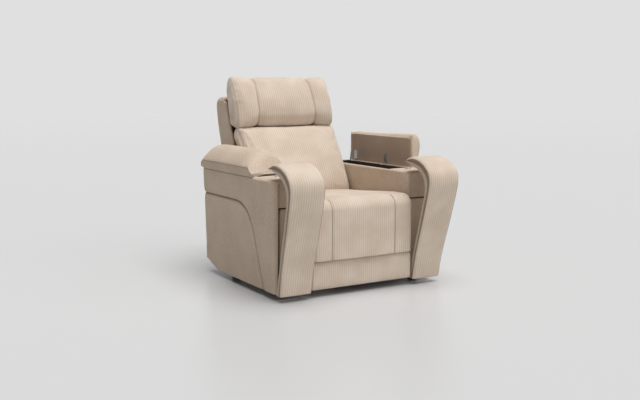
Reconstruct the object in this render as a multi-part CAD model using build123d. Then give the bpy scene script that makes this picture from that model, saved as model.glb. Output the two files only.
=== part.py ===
from build123d import *
import math
import os

# Power recliner armchair with storage arms, in millimetres.
# X runs to the right as seen from in front, Y to the rear and Z up.
# The origin is on the floor, midway between the arms and at the middle of the chair's depth.

# Places and clearances shared by the whole chair
FRONT = -455.0           # Y of the lower front line of the arm bands
FLOOR_GAP = 30.0         # floor to the lowest upholstery
RUN = 0.4                # running gap of faces that move or swell past each other
SIDE_GAP = 5.0           # seat, footrest and back to the arms
PIN_FIT = 0.3            # pin or tube to its bore, on the radius

# Arms
ARM_INNER = 290.0        # half the width between the arms
ARM_WIDTH = 164.0        # one arm at its bottom
ARM_FLARE = 8.0          # how far an arm's side leans out at its top
ARM_SET = 54.0           # arm's front behind the front line
ARM_LENGTH = 776.0
ARM_TOP = 557.0
KICK_SET = 661.0         # where the lower edge starts to rise to the rear, behind the front line
KICK_RISE = 45.0
PANEL = 14.0             # padded panel on a board
BOARD = 15.0             # plywood
SHELF_PAD = 12.0
CAP_DEPTH = 128.0        # height of the padded cap on the arm's front
FACING_INSET = 4.0       # shadow gap round the lower front facing
SEAM_Z = 409.0           # level stretch of the seam on the arm's side
SEAM_SET = 179.0         # where that seam meets the lower edge, behind the front line
SEAM_LEAN = 129.0        # how far the seam leans back on its way up
SEAM_RADIUS = 205.0
SEAM_GROOVE = 5.0
SOFT_EDGE = 5.0
SIDE_CROWN = 5.0         # swell of the arm's side

# Scroll bands on the arm fronts
BAND_BULGE = 121.0       # reach of the band in front of its foot
BAND_BULGE_Z = 550.0
BAND_KNEE = 99.0         # end of the straight lower stretch, ahead of the foot
BAND_KNEE_Z = 372.0
BAND_SWELL = 16.0        # how far its arcs stand off their chords
BAND_CREST = 18.0        # highest line, ahead of the foot
BAND_TOP = 642.0
BAND_THICK = 40.0
BAND_THROAT = 104.0      # band's thickness where its rear edge turns up to the tip
BAND_TIP_SET = 77.0
BAND_TIP_Z = 612.0
BAND_EDGE = 9.0
BAND_FLARE = 14.0

# Storage bins, lids and their hinges
LEDGE_LENGTH = 178.0     # arm front to the bin's flange
BIN_DEPTH = 240.0
BIN_WALL = 2.5
BIN_FLANGE = 18.0
BIN_FLANGE_THICK = 10.0
LID_GAP = 3.0            # arm top to the lid's underside
LID_LENGTH = 590.0
LID_OVERHANG = 8.0       # lid past the arm's side
LID_BOARD = 12.0
LID_LIP = 10.0           # padding round the lid's board
LID_NOSE = 44.0          # length of the lid's sloping ends
LID_ARCH = 12.0          # rise of the finger arch
LID_SIDE = 38.0          # height of the lid's outer side
LID_INNER_SIDE = 72.0
LID_DOME = 122.0         # height of the lid's crown
LID_OPEN = 90.0          # degrees, shown open on the right arm
LID_HINGE_IN = 5.0       # hinge axis in from the arm's side
LID_HINGE_DROP = 4.0     # hinge axis below the arm's top
HINGE_WIDTH = 30.0
HINGE_FRONT_SET = 490.0  # the two hinges behind the front line
HINGE_REAR_SET = 785.0
HINGE_PIN = 2.5          # radius
HINGE_LEAF = 2.5
HINGE_KNUCKLE = 4.5      # outer radius
HINGE_ARM = 62.0

# Controls on the arm ledges
CONTROL_X = 375.0
CONTROL_SET = 170.0      # behind the front line
CUP_RADIUS = 18.0
CUP_LIP = 3.0
CUP_RISE = 2.5
CUP_DEPTH = 26.0
BUTTON_BORE = 13.5       # radius
BUTTON_TRAVEL = 1.5
BUTTON_SPLIT = 1.2

# Seat and footrest
SEAT_TOP = 455.0
SEAT_REAR_TOP = 431.0
SEAT_SET = 558.0         # seat's rear behind the front line
NOSE = 52.0              # radius of the seat's front roll, on the footrest's pivot
SEAT_THICK = 104.0
SEAT_SEAM = 178.0        # the two channels, from the middle
CROWN = 9.0              # how far a soft face swells between its seams
SIDE_DRAW = 14.0         # how far a cushion's sides are drawn in
CHANNEL = 10.0           # half the width of a sewn channel
NOSE_GAP = 1.0           # seat roll to the footrest pad that turns round it
FRONT_PAD = 44.0
FRONT_SEAM_Z = 170.0     # between the two front pads
FRONT_GROOVE = 3.0
LOWER_PAD_SET = 12.0     # lower pad behind the upper one
PAD_BOTTOM = 38.0
FOOT_BOARD = 15.0
FOOT_LIFT = 80.0         # degrees

# Seat frame and mechanism plates
RAIL = 25.0              # width of a seat frame rail
RAIL_HIGH = 42.0
WEB_THICK = 2.5
WEB_WIDTH = 50.0
WEB_COUNT = 5
SEAT_FRAME_SET = 150.0   # seat frame behind the front line
PLATE = 5.0              # steel plate
PLATE_INNER = 232.0
LINK_GAP = 4.0           # between plates that swing past each other
LINK_WIDTH = 24.0
LINK_PIN = 6.0           # radius
PIVOT_PIN = 7.0          # radius of the footrest's pivot pins
HUB = 18.0               # radius of the plates round a pivot
CRANK_BACK = 35.0        # link pin behind its pivot
CRANK_DROP = 60.0        # link pin below its pivot
CRANK_SET = 267.0        # footrest torque tube behind the front line
CRANK_Z = 265.0
BACK_SET = 620.0         # back's pivot behind the front line
BACK_Z = 330.0
SHAFT = 15.0             # outer radius of the torque tubes
SHAFT_WALL = 2.5
TUBE = 30.0              # square cross tubes
TUBE_WALL = 2.0
TUBE_Z = 100.0           # underside of the cross tubes
TUBE_FRONT_SET = 180.0   # the three cross tubes behind the front line
TUBE_MIDDLE_SET = 440.0
TUBE_REAR_SET = 600.0
GLIDE_RADIUS = 22.0
GLIDE_FRONT_SET = 120.0  # the glides behind the front line
GLIDE_REAR_SET = 630.0
SKIRT_THICK = 12.0
SKIRT_LOW = 80.0
SKIRT_TOP = 195.0

# Spindle drives
DRIVE_X = 60.0           # footrest drive to the right, back drive to the left
DRIVE_PIN_Z = 205.0
DRIVE_PIN = 6.0
RAIL_WIDE = 26.0
RAIL_TALL = 22.0
RAIL_PAD = 4.0
SLIDER_LONG = 44.0
LEVER = 8.0              # lever thickness
LEVER_WIDE = 34.0
FOOT_SLOT_PLAY = 4.2     # slot to pin, on each side
BACK_SLOT_PLAY = 1.0
MOTOR_RADIUS = 27.0
MOTOR_LONG = 84.0
GEARBOX = 58.0

# Back and headrest
BACK_RECLINE = 35.0      # degrees
UPRIGHT = 22.0           # thickness of a back upright
UPRIGHT_WIDE = 56.0
LUMBAR_FOOT_SET = 566.0  # lumbar cushion's front behind the front line
LUMBAR_FOOT_Z = 416.0
LUMBAR_MID_SET = 673.0
LUMBAR_MID_Z = 599.0
LUMBAR_HEAD_SET = 742.0
LUMBAR_HEAD_Z = 738.0
LUMBAR_THICK = 90.0
SHELL_LOW_SET = 772.0    # rear shell's front edge behind the front line
SHELL_LOW_Z = 400.0
SHELL_HIGH_SET = 930.0
SHELL_HIGH_Z = 912.0
SHELL_DEPTH_HIGH = 110.0 # rear shell from front edge to rear
SHELL_DEPTH_LOW = 153.0
SHELL_FALL = 12.0        # slope of the shell's top to the rear
SHELL_BELLY = 17.5       # how far the shell's rear stands off its chord
SHELL_WALL = 20.0
HEAD_SET = 830.0         # headrest's pivot behind the front line
HEAD_Z = 806.0
HEAD_ROLL = 50.0         # radius of the headrest's lower roll, on its pivot
HEAD_TOP = 1010.0
HEAD_LEAN = 50.0         # how far the headrest's front leans back
HEAD_THICK = 58.0
HEAD_HALF = 297.0
HEAD_SEAM = 174.0        # the two channels, from the middle
HEAD_TILT = 35.0         # degrees
HEAD_BOARD = 10.0
HEAD_EAR_X = 150.0
HEAD_PIN = 5.0
HEAD_HUB = 11.0          # radius of the plates round the headrest's pivot
HEAD_RAIL_SET = 876.0    # top rail of the back behind the front line
HEAD_RAIL_Z = 712.0

# Derived places
ARM_FRONT = FRONT + ARM_SET
KICK_START = FRONT + KICK_SET
SEAM_FOOT = FRONT + SEAM_SET
BAND_TIP = FRONT + BAND_TIP_SET
HINGE_PLACES = (FRONT + HINGE_FRONT_SET, FRONT + HINGE_REAR_SET)
CONTROL_Y = FRONT + CONTROL_SET
SEAT_REAR = FRONT + SEAT_SET
SEAT_FRAME_FRONT = FRONT + SEAT_FRAME_SET
CRANK_AXIS = (FRONT + CRANK_SET, CRANK_Z)
BACK_AXIS = (FRONT + BACK_SET, BACK_Z)
TUBE_PLACES = (FRONT + TUBE_FRONT_SET, FRONT + TUBE_MIDDLE_SET, FRONT + TUBE_REAR_SET)
GLIDE_PLACES = (FRONT + GLIDE_FRONT_SET, FRONT + GLIDE_REAR_SET)
LUMBAR_FOOT = (FRONT + LUMBAR_FOOT_SET, LUMBAR_FOOT_Z)
LUMBAR_MID = (FRONT + LUMBAR_MID_SET, LUMBAR_MID_Z)
LUMBAR_HEAD = (FRONT + LUMBAR_HEAD_SET, LUMBAR_HEAD_Z)
SHELL_FRONT_LOW = (FRONT + SHELL_LOW_SET, SHELL_LOW_Z)
SHELL_FRONT_HIGH = (FRONT + SHELL_HIGH_SET, SHELL_HIGH_Z)
SHELL_REAR_LOW = (SHELL_FRONT_LOW[0] + SHELL_DEPTH_LOW, SHELL_LOW_Z)
SHELL_REAR_HIGH = (SHELL_FRONT_HIGH[0] + SHELL_DEPTH_HIGH, SHELL_HIGH_Z - SHELL_FALL)
SHELL_REAR_MID = (
    (SHELL_REAR_LOW[0] + SHELL_REAR_HIGH[0]) / 2 + SHELL_BELLY,
    (SHELL_LOW_Z + SHELL_HIGH_Z) / 2,
)
HEAD_AXIS = (FRONT + HEAD_SET, HEAD_Z)
HEAD_RAIL = (FRONT + HEAD_RAIL_SET, HEAD_RAIL_Z)
ARM_OUTER = ARM_INNER + ARM_WIDTH
ARM_REAR = ARM_FRONT + ARM_LENGTH
ARM_TOP_OUTER = ARM_OUTER + ARM_FLARE
FRAME_INNER = ARM_INNER + PANEL
FRAME_OUTER = ARM_OUTER - PANEL
FRAME_TOP = ARM_TOP - SHELF_PAD
BIN_FRONT = ARM_FRONT + LEDGE_LENGTH
LID_UNDER = ARM_TOP + LID_GAP
LID_REAR = ARM_REAR + LID_OVERHANG
LID_FRONT = LID_REAR - LID_LENGTH
LID_OUTER = ARM_TOP_OUTER + LID_OVERHANG
LID_HINGE = (ARM_TOP_OUTER - LID_HINGE_IN, ARM_TOP - LID_HINGE_DROP)
SEAT_HALF = ARM_INNER - SIDE_GAP
FOOT_AXIS = (FRONT + NOSE, SEAT_TOP - NOSE)
SEAT_UNDER = SEAT_TOP - SEAT_THICK
DECK = SEAT_UNDER - WEB_THICK - RUN
LINK_X = PLATE_INNER + PLATE + LINK_GAP
CRANK_X = LINK_X + PLATE + LINK_GAP
TUBE_TOP = TUBE_Z + TUBE


def slab(x, y, z):
    """A box between pairs of X, Y and Z."""
    middle = Pos((x[0] + x[1]) / 2, (y[0] + y[1]) / 2, (z[0] + z[1]) / 2)
    return middle * Box(abs(x[1] - x[0]), abs(y[1] - y[0]), abs(z[1] - z[0]))


def from_side(outline, x):
    """A side-view outline in Y and Z, made solid between two X."""
    return extrude(Plane.YZ.offset(x[0]) * outline, amount=x[1] - x[0])


def from_front(outline, y):
    """A front-view outline in X and Z, made solid between two Y."""
    return extrude(Plane.XZ.offset(-y[1]) * outline, amount=y[1] - y[0])


def from_above(outline, z):
    """A plan outline in X and Y, made solid between two Z."""
    return extrude(Plane.XY.offset(z[0]) * outline, amount=z[1] - z[0])


def polygon(*points):
    return make_face(Polyline(*points, close=True))


def closed(*edges):
    """A face inside a loop of lines and arcs."""
    return make_face(Curve() + list(edges))


def rod(radius, x, centre):
    """A round bar along X at a centre in Y and Z."""
    return from_side(Pos(*centre) * Circle(radius), x)


def mirrored(shape):
    return mirror(shape, about=Plane.YZ)


def both_sides(shape):
    """A piece and its mirror image, as separate solids of one group."""
    return Compound(children=list(shape.solids()) + list(mirrored(shape).solids()))


def soften(shape, radius, axis):
    """Rounds the edges that run along an axis."""
    return fillet(shape.edges().filter_by(axis), radius)


def along(start, end, share):
    return tuple(a + share * (b - a) for a, b in zip(start, end))


# Arms


def arm_outline(front, rear, bottom, top):
    """The arm's side view, drawn in by an amount on each of its four sides."""
    y0 = ARM_FRONT + front
    y1 = ARM_REAR - rear
    z0 = FLOOR_GAP + bottom
    z1 = ARM_TOP - top
    rise = KICK_RISE * (y1 - KICK_START) / (ARM_REAR - KICK_START)
    return polygon((y0, z0), (KICK_START, z0), (y1, z0 + rise), (y1, z1), (y0, z1))


def seam_outline(groove):
    """The lower rear part of the arm's side, under the seam, in side view."""
    level = SEAM_Z - groove
    foot = (SEAM_FOOT + groove, FLOOR_GAP)
    corner = (SEAM_FOOT + groove + SEAM_LEAN, level)
    rear_top = (ARM_REAR, level)
    seam = FilletPolyline(rear_top, corner, foot, radius=SEAM_RADIUS)
    return closed(seam, Polyline(foot, (ARM_REAR, FLOOR_GAP), rear_top))


def side_thickness():
    """The outer padding between the frame and the leaning, slightly crowned side."""
    low, high = (ARM_OUTER, FLOOR_GAP), (ARM_TOP_OUTER, ARM_TOP)
    middle = along(low, high, 0.5)
    outline = closed(
        ThreePointArc(low, (middle[0] + SIDE_CROWN, middle[1]), high),
        Polyline(high, (FRAME_OUTER, ARM_TOP), (FRAME_OUTER, FLOOR_GAP), low),
    )
    return from_front(outline, (ARM_FRONT, ARM_REAR))


def control_bore():
    """The hole for a control's barrel through the ledge."""
    place = Pos(CONTROL_X, CONTROL_Y, ARM_TOP - CUP_DEPTH)
    return place * Cylinder(CUP_RADIUS - CUP_LIP + PIN_FIT, 2 * CUP_DEPTH)


def hinge_notches():
    """Room for the lid hinges in the padding and the bin's flange."""
    half = HINGE_WIDTH / 2 + LID_GAP
    inner = FRAME_OUTER - BOARD - LID_GAP
    notches = Part()
    for place in HINGE_PLACES:
        notches += slab((inner, LID_OUTER), (place - half, place + half), (FRAME_TOP, LID_UNDER))
    return notches


def arm_frame():
    """Plywood box, closed by a ledge in front and open at the top over the bin."""
    inside = (FRAME_INNER + BOARD, FRAME_OUTER - BOARD)
    end = PANEL + BOARD
    box = from_side(arm_outline(PANEL, PANEL, 0, SHELF_PAD), (FRAME_INNER, FRAME_OUTER))
    room = from_side(arm_outline(end, end, BOARD, SHELF_PAD + BOARD), inside)
    mouth = slab(inside, (BIN_FRONT + BIN_FLANGE, ARM_REAR - end), (FRAME_TOP - 2 * BOARD, FRAME_TOP))
    return box - room - mouth - control_bore()


def arm_inner_panel():
    low = TUBE_TOP + LID_GAP
    panel = slab((ARM_INNER, FRAME_INNER), (ARM_FRONT, ARM_REAR), (low, ARM_TOP))
    face_edges = panel.faces().sort_by(Axis.X)[0].edges()
    return fillet(face_edges, SOFT_EDGE)


def arm_outer_panel():
    """Lower rear padding of the arm's side, wrapped round the rear corner."""
    outline = arm_outline(0, 0, 0, 0) & seam_outline(SEAM_GROOVE)
    side = from_side(outline, (FRAME_OUTER, LID_OUTER)) & side_thickness()
    low = FLOOR_GAP + KICK_RISE
    rear = slab((FRAME_INNER, FRAME_OUTER), (ARM_REAR - PANEL, ARM_REAR), (low, ARM_TOP))
    return side + rear


def arm_yoke():
    """Inverted-L padding along the top and the front of the arm's side."""
    outline = arm_outline(0, 0, 0, 0) - seam_outline(0)
    side = from_side(outline, (FRAME_OUTER, LID_OUTER)) & side_thickness()
    return side - hinge_notches()


def arm_shelf_cover():
    """Padded ledge in front of the bin, with the cap that hangs down the arm's front."""
    rear = BIN_FRONT - RUN
    low = ARM_TOP - CAP_DEPTH
    outline = polygon(
        (ARM_FRONT, low), (ARM_FRONT + PANEL, low), (ARM_FRONT + PANEL, FRAME_TOP),
        (rear, FRAME_TOP), (rear, ARM_TOP), (ARM_FRONT, ARM_TOP),
    )
    cover = from_side(outline, (FRAME_INNER, FRAME_OUTER))
    brow = cover.edges().filter_by(Axis.X).sort_by(lambda e: e.center().Z - e.center().Y)[-1]
    return fillet(brow, SOFT_EDGE) - control_bore()


def arm_facing():
    """Padded facing below the cap, set in from the corners by a shadow gap."""
    x = (FRAME_INNER + FACING_INSET, FRAME_OUTER - FACING_INSET)
    high = ARM_TOP - CAP_DEPTH - FACING_INSET
    facing = slab(x, (ARM_FRONT, ARM_FRONT + PANEL), (FLOOR_GAP, high))
    return fillet(facing.faces().sort_by(Axis.Y)[0].edges(), SOFT_EDGE)


def arm_band():
    """Scroll band: leans forward from its foot, rolls over the top and tapers to a tip."""
    foot = (FRONT, FLOOR_GAP)
    knee = (FRONT - BAND_KNEE, BAND_KNEE_Z)
    bulge = (FRONT - BAND_BULGE, BAND_BULGE_Z)
    swell = along(knee, bulge, 0.5)
    crest = (FRONT - BAND_CREST, BAND_TOP)
    shoulder = along(bulge, crest, 0.5)
    tip = (BAND_TIP, BAND_TIP_Z)
    under_tip = (BAND_TIP - BAND_EDGE, BAND_TIP_Z - BAND_EDGE)
    throat = (FRONT - BAND_BULGE + BAND_THROAT, BAND_BULGE_Z)
    neck = (FRONT - BAND_BULGE + BAND_THICK, BAND_BULGE_Z - 2 * BAND_THICK)
    hollow = along(throat, neck, 0.5)
    heel = (ARM_FRONT - RUN, FLOOR_GAP)
    side = closed(
        Line(foot, knee),
        ThreePointArc(knee, (swell[0] - BAND_SWELL, swell[1]), bulge),
        ThreePointArc(bulge, (shoulder[0] - BAND_SWELL, shoulder[1] + BAND_SWELL), crest),
        ThreePointArc(crest, (along(crest, tip, 0.5)[0], BAND_TOP - BAND_SWELL / 2), tip),
        Polyline(tip, under_tip, throat),
        ThreePointArc(throat, (hollow[0] - BAND_SWELL / 2, hollow[1] + BAND_SWELL / 2), neck),
        Polyline(neck, heel, foot),
    )
    outer_foot = (ARM_OUTER, FLOOR_GAP)
    outer_top = (ARM_OUTER + BAND_FLARE, BAND_TOP)
    lean = along(outer_foot, outer_top, 0.5)
    front = closed(
        Polyline(outer_foot, (ARM_INNER, FLOOR_GAP), (ARM_INNER, BAND_TOP), outer_top),
        ThreePointArc(outer_top, (lean[0] + SIDE_CROWN / 2, lean[1]), outer_foot),
    )
    reach = (FRONT - 2 * BAND_BULGE, BAND_TIP)
    return from_side(side, (ARM_INNER, LID_OUTER)) & from_front(front, reach)


def storage_bin():
    """Moulded bin hung by its flange on the frame's open top."""
    x = (FRAME_INNER + BOARD + RUN, FRAME_OUTER - BOARD - RUN)
    y = (BIN_FRONT + BIN_FLANGE + RUN, ARM_REAR - PANEL - BOARD - RUN)
    top = FRAME_TOP + BIN_FLANGE_THICK
    tub = slab(x, y, (FRAME_TOP - BIN_DEPTH, top))
    tub = soften(tub, 3 * BIN_WALL, Axis.Z)
    flange = slab((FRAME_INNER, FRAME_OUTER), (BIN_FRONT, ARM_REAR - PANEL), (FRAME_TOP, top))
    room_x = (x[0] + BIN_WALL, x[1] - BIN_WALL)
    room_y = (y[0] + BIN_WALL, y[1] - BIN_WALL)
    room = slab(room_x, room_y, (FRAME_TOP - BIN_DEPTH + BIN_WALL, top))
    room = soften(room, 2 * BIN_WALL, Axis.Z)
    return tub + (flange - hinge_notches()) - room


def control_cup():
    """Chrome cup with a lip on the ledge, holding two buttons."""
    barrel = CUP_RADIUS - CUP_LIP
    seat = Pos(CONTROL_X, CONTROL_Y, ARM_TOP)
    lip = seat * Cylinder(CUP_RADIUS, CUP_RISE, align=(Align.CENTER, Align.CENTER, Align.MIN))
    lip = fillet(lip.edges().group_by(Axis.Z)[-1], CUP_RISE / 2)
    body = seat * Cylinder(barrel, CUP_DEPTH, align=(Align.CENTER, Align.CENTER, Align.MAX))
    floor = ARM_TOP - CUP_DEPTH + CUP_LIP / 2
    bore = from_above(Pos(CONTROL_X, CONTROL_Y) * Circle(BUTTON_BORE), (floor, ARM_TOP + CUP_RISE))
    return lip + body - bore


def button(rear):
    """One half-round push button, the front one or the rear one."""
    radius = BUTTON_BORE - PIN_FIT
    low = ARM_TOP - CUP_DEPTH + CUP_LIP + BUTTON_TRAVEL
    high = ARM_TOP + CUP_RISE + BUTTON_TRAVEL
    disc = from_above(Pos(CONTROL_X, CONTROL_Y) * Circle(radius), (low, high))
    disc = fillet(disc.edges().group_by(Axis.Z)[-1], BUTTON_SPLIT)
    span = (BUTTON_SPLIT / 2, 2 * radius) if rear else (-2 * radius, -BUTTON_SPLIT / 2)
    half_x = (CONTROL_X - 2 * radius, CONTROL_X + 2 * radius)
    return disc & slab(half_x, (CONTROL_Y + span[0], CONTROL_Y + span[1]), (low, high))


# Lids, drawn closed on the right arm


def lid_board():
    x = (ARM_INNER + LID_LIP, LID_HINGE[0] - 2 * HINGE_KNUCKLE)
    y = (LID_FRONT + LID_NOSE, LID_REAR - LID_LIP)
    return slab(x, y, (LID_UNDER, LID_UNDER + LID_BOARD))


def lid_pad():
    """Domed pad: high inner side, low outer side, sloping front with a finger arch under it."""
    low, crown = LID_UNDER, LID_UNDER + LID_DOME
    inner_high = (ARM_INNER, low + LID_INNER_SIDE)
    outer_high = (LID_OUTER, low + LID_SIDE)
    ridge = ((ARM_INNER + LID_OUTER) / 2, crown)
    section = closed(
        Polyline(outer_high, (LID_OUTER, low), (ARM_INNER, low), inner_high),
        ThreePointArc(inner_high, ridge, outer_high),
    )
    front_top = (LID_FRONT + LID_NOSE, crown)
    rear_top = (LID_REAR - LID_NOSE, crown)
    chest = (LID_FRONT + LID_NOSE / 4, low + LID_INNER_SIDE)
    rump = (LID_REAR - LID_NOSE / 4, low + LID_INNER_SIDE)
    profile = closed(
        ThreePointArc((LID_FRONT, low), chest, front_top),
        Line(front_top, rear_top),
        ThreePointArc(rear_top, rump, (LID_REAR, low)),
        Line((LID_REAR, low), (LID_FRONT, low)),
    )
    left, right = (ARM_INNER + LID_NOSE / 2, low), (LID_OUTER - LID_NOSE / 2, low)
    arch = closed(ThreePointArc(left, (ridge[0], low + LID_ARCH), right), Line(right, left))
    pad = from_side(profile, (ARM_INNER, LID_OUTER)) & from_front(section, (LID_FRONT, LID_REAR))
    return pad - from_front(arch, (LID_FRONT, LID_FRONT + LID_NOSE)) - lid_board()


def hinge_barrel(radius, y):
    return from_front(Pos(*LID_HINGE) * Circle(radius), y)


def lid_hinge_arms():
    """Hinge arms under the lid, each with its knuckle on the pin."""
    hx, hz = LID_HINGE
    plate_z = (LID_UNDER - HINGE_LEAF, LID_UNDER)
    root = hx - 3 * HINGE_KNUCKLE
    arms = Part()
    for place in HINGE_PLACES:
        wide = (place - HINGE_WIDTH / 2, place + HINGE_WIDTH / 2)
        slim = (place - HINGE_WIDTH / 6, place + HINGE_WIDTH / 6)
        arms += slab((hx - HINGE_ARM, root), wide, plate_z)
        arms += slab((root, hx + HINGE_KNUCKLE), slim, plate_z)
        arms += slab((hx - HINGE_KNUCKLE, hx + HINGE_KNUCKLE), slim, (hz, LID_UNDER))
        arms += hinge_barrel(HINGE_KNUCKLE, slim)
        arms -= hinge_barrel(HINGE_PIN + PIN_FIT, slim)
    return arms


def lid_hinge_leaves():
    """Leaves on the arm's frame, each with two ears and the fixed pin."""
    hx, hz = LID_HINGE
    leaves = Part()
    for place in HINGE_PLACES:
        wide = (place - HINGE_WIDTH / 2, place + HINGE_WIDTH / 2)
        leaf_z = (FRAME_TOP, FRAME_TOP + HINGE_LEAF)
        leaves += slab((FRAME_OUTER - BOARD, hx), wide, leaf_z)
        for side in (-1, 1):
            near = place + side * (HINGE_WIDTH / 6 + PIN_FIT)
            ear = tuple(sorted((near, place + side * HINGE_WIDTH / 2)))
            leaves += slab((hx - HINGE_KNUCKLE, hx + HINGE_KNUCKLE), ear, (FRAME_TOP, hz))
            leaves += hinge_barrel(HINGE_KNUCKLE, ear)
        leaves += hinge_barrel(HINGE_PIN, wide)
    return leaves


def opened(shape):
    """A right lid piece swung up and out to its stop."""
    return shape.rotate(Axis((LID_HINGE[0], 0, LID_HINGE[1]), (0, 1, 0)), LID_OPEN)


# Seat, footrest and their soft forms


def soft_loft(profile, stations):
    """A padded form through side-view profiles, each drawn in by its depth at its X."""
    sections = [Plane.YZ.offset(x) * profile(depth) for x, depth in stations]
    return loft(sections, ruled=True)


def lobes(half, seam):
    """Stations across a cushion with two sewn channels and drawn-in sides."""
    side = [(half, SIDE_DRAW), (half - SIDE_DRAW, CROWN / 2), ((half + seam) / 2, 0.0)]
    channel = [(seam + CHANNEL, CROWN / 3), (seam, CROWN), (seam - CHANNEL, CROWN / 3)]
    right = [(0.0, 0.0)] + list(reversed(side + channel))
    return [(-x, depth) for x, depth in reversed(right[1:])] + right


def crowned(half):
    """Stations across a cushion with one crown and drawn-in sides."""
    right = [(0.0, 0.0), (half * 0.6, CROWN / 3), (half - SIDE_DRAW, CROWN), (half, SIDE_DRAW + CROWN)]
    return [(-x, depth) for x, depth in reversed(right[1:])] + right


def seat_profile(depth):
    """Side view of the seat cushion, with its front roll about the footrest's pivot."""
    y, z = FOOT_AXIS
    radius = NOSE - depth
    nose, top = (y - radius, z), (y, z + radius)
    slant = math.sqrt(0.5) * radius
    rear = SEAT_REAR - depth
    rear_top = SEAT_REAR_TOP - depth
    return closed(
        ThreePointArc(nose, (y - slant, z + slant), top),
        Polyline(top, (rear - NOSE / 2, rear_top), (rear, rear_top - NOSE / 4), (rear, SEAT_UNDER),
                 (y + NOSE / 4, SEAT_UNDER), nose),
    )


def seat_cushion():
    """Seat with two channels, hollowed at the front corners for the footrest's pivots."""
    cushion = soft_loft(seat_profile, lobes(SEAT_HALF, SEAT_SEAM))
    x = (PLATE_INNER - LINK_GAP, ARM_INNER)
    y, z = FOOT_AXIS
    low = SEAT_UNDER - NOSE
    corner = slab(x, (FRONT - NOSE, TUBE_PLACES[0] + TUBE), (low, z))
    corner += slab(x, (y, TUBE_PLACES[0]), (low, z + HUB)) + rod(HUB + 2 * LINK_GAP, x, (y, z))
    return cushion - corner - mirrored(corner)


def front_pad_profile(depth):
    """Side view of the upper front pad, hollowed on top to roll round the seat's nose."""
    y, z = FOOT_AXIS
    hollow = NOSE + NOSE_GAP
    front, rear = FRONT + depth, FRONT + FRONT_PAD
    low = FRONT_SEAM_Z + FRONT_GROOVE / 2 + depth / 3
    start = (front, z - math.sqrt(hollow ** 2 - (y - front) ** 2))
    end = (rear, z - math.sqrt(hollow ** 2 - (y - rear) ** 2))
    bend = math.radians(225)
    middle = (y + hollow * math.cos(bend), z + hollow * math.sin(bend))
    return closed(
        Line((front, low), start),
        ThreePointArc(start, middle, end),
        Polyline(end, (rear, low), (front, low)),
    )


def lower_pad_profile(depth):
    front, rear = FRONT + LOWER_PAD_SET + depth, FRONT + FRONT_PAD
    high = FRONT_SEAM_Z - FRONT_GROOVE / 2 - depth / 3
    low = PAD_BOTTOM + depth / 3
    return polygon((front, low), (front, high), (rear, high), (rear, low))


def footrest_board():
    """Plywood board behind both front pads."""
    x = SEAT_HALF - SIDE_DRAW
    y = FRONT + FRONT_PAD
    high = FOOT_AXIS[1] - NOSE - BOARD
    return slab((-x, x), (y, y + FOOT_BOARD), (PAD_BOTTOM + SIDE_DRAW, high))


def link_pin_at(pivot):
    return pivot[0] + CRANK_BACK, pivot[1] - CRANK_DROP


def strap(start, end, width, x):
    """A flat bar with round ends between two side-view points."""
    angle = math.degrees(math.atan2(end[1] - start[1], end[0] - start[0]))
    length = math.dist(start, end)
    middle = along(start, end, 0.5)
    return from_side(Pos(*middle) * Rot(0, 0, angle) * SlotCenterToCenter(length, width), x)


def footrest_brackets():
    """Steel arms from the footrest's board to its pivots, each with its link pin."""
    x = (CRANK_X, CRANK_X + PLATE)
    back_of_board = FRONT + FRONT_PAD + FOOT_BOARD
    foot = FRONT_SEAM_Z - NOSE
    pin = link_pin_at(FOOT_AXIS)
    flange = polygon((back_of_board, foot), (back_of_board + LINK_WIDTH, foot),
                     (pin[0] + LINK_WIDTH / 2, pin[1]), (back_of_board, pin[1] - LINK_WIDTH / 2))
    arm = from_side(flange, x) + strap(FOOT_AXIS, pin, 2 * HUB - LINK_GAP, x)
    arm -= rod(PIVOT_PIN + PIN_FIT, x, FOOT_AXIS)
    arm += rod(LINK_PIN, (LINK_X - LINK_GAP / 2, CRANK_X), pin)
    return both_sides(arm)


# Seat frame, mechanism and drives


def glides():
    """Plastic glides under the four corners of the arms."""
    x = (FRAME_INNER + FRAME_OUTER) / 2
    feet = Part()
    for place in GLIDE_PLACES:
        foot = from_above(Pos(x, place) * Circle(GLIDE_RADIUS), (0, FLOOR_GAP))
        feet += chamfer(foot.edges().group_by(Axis.Z)[0], GLIDE_RADIUS / 8)
    return both_sides(feet)


def cross_tubes():
    """Square tubes from arm to arm that carry the mechanism."""
    x = (-FRAME_INNER, FRAME_INNER)
    bore = TUBE / 2 - TUBE_WALL
    middle = TUBE_Z + TUBE / 2
    tubes = Part()
    for place in TUBE_PLACES:
        outside = slab(x, (place - TUBE / 2, place + TUBE / 2), (TUBE_Z, TUBE_TOP))
        inside = slab(x, (place - bore, place + bore), (middle - bore, middle + bore))
        tubes += outside - inside
    return tubes


def seat_frame():
    """Four wooden rails between the mechanism plates."""
    z = (DECK - RAIL_HIGH, DECK)
    inner = PLATE_INNER - RAIL
    rails = both_sides(slab((inner, PLATE_INNER), (SEAT_FRAME_FRONT, SEAT_REAR), z)).solids()
    for front in (SEAT_FRAME_FRONT, SEAT_REAR - RAIL):
        rails += slab((-inner, inner), (front, front + RAIL), z).solids()
    return Compound(children=list(rails))


def seat_webbing():
    """Elastic straps across the seat frame."""
    first = SEAT_FRAME_FRONT + WEB_WIDTH / 2
    pitch = (SEAT_REAR - SEAT_FRAME_FRONT - WEB_WIDTH) / (WEB_COUNT - 1)
    straps = []
    for i in range(WEB_COUNT):
        middle = first + i * pitch
        y = (middle - WEB_WIDTH / 2, middle + WEB_WIDTH / 2)
        straps += slab((-PLATE_INNER, PLATE_INNER), y, (DECK, DECK + WEB_THICK)).solids()
    return Compound(children=straps)


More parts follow.
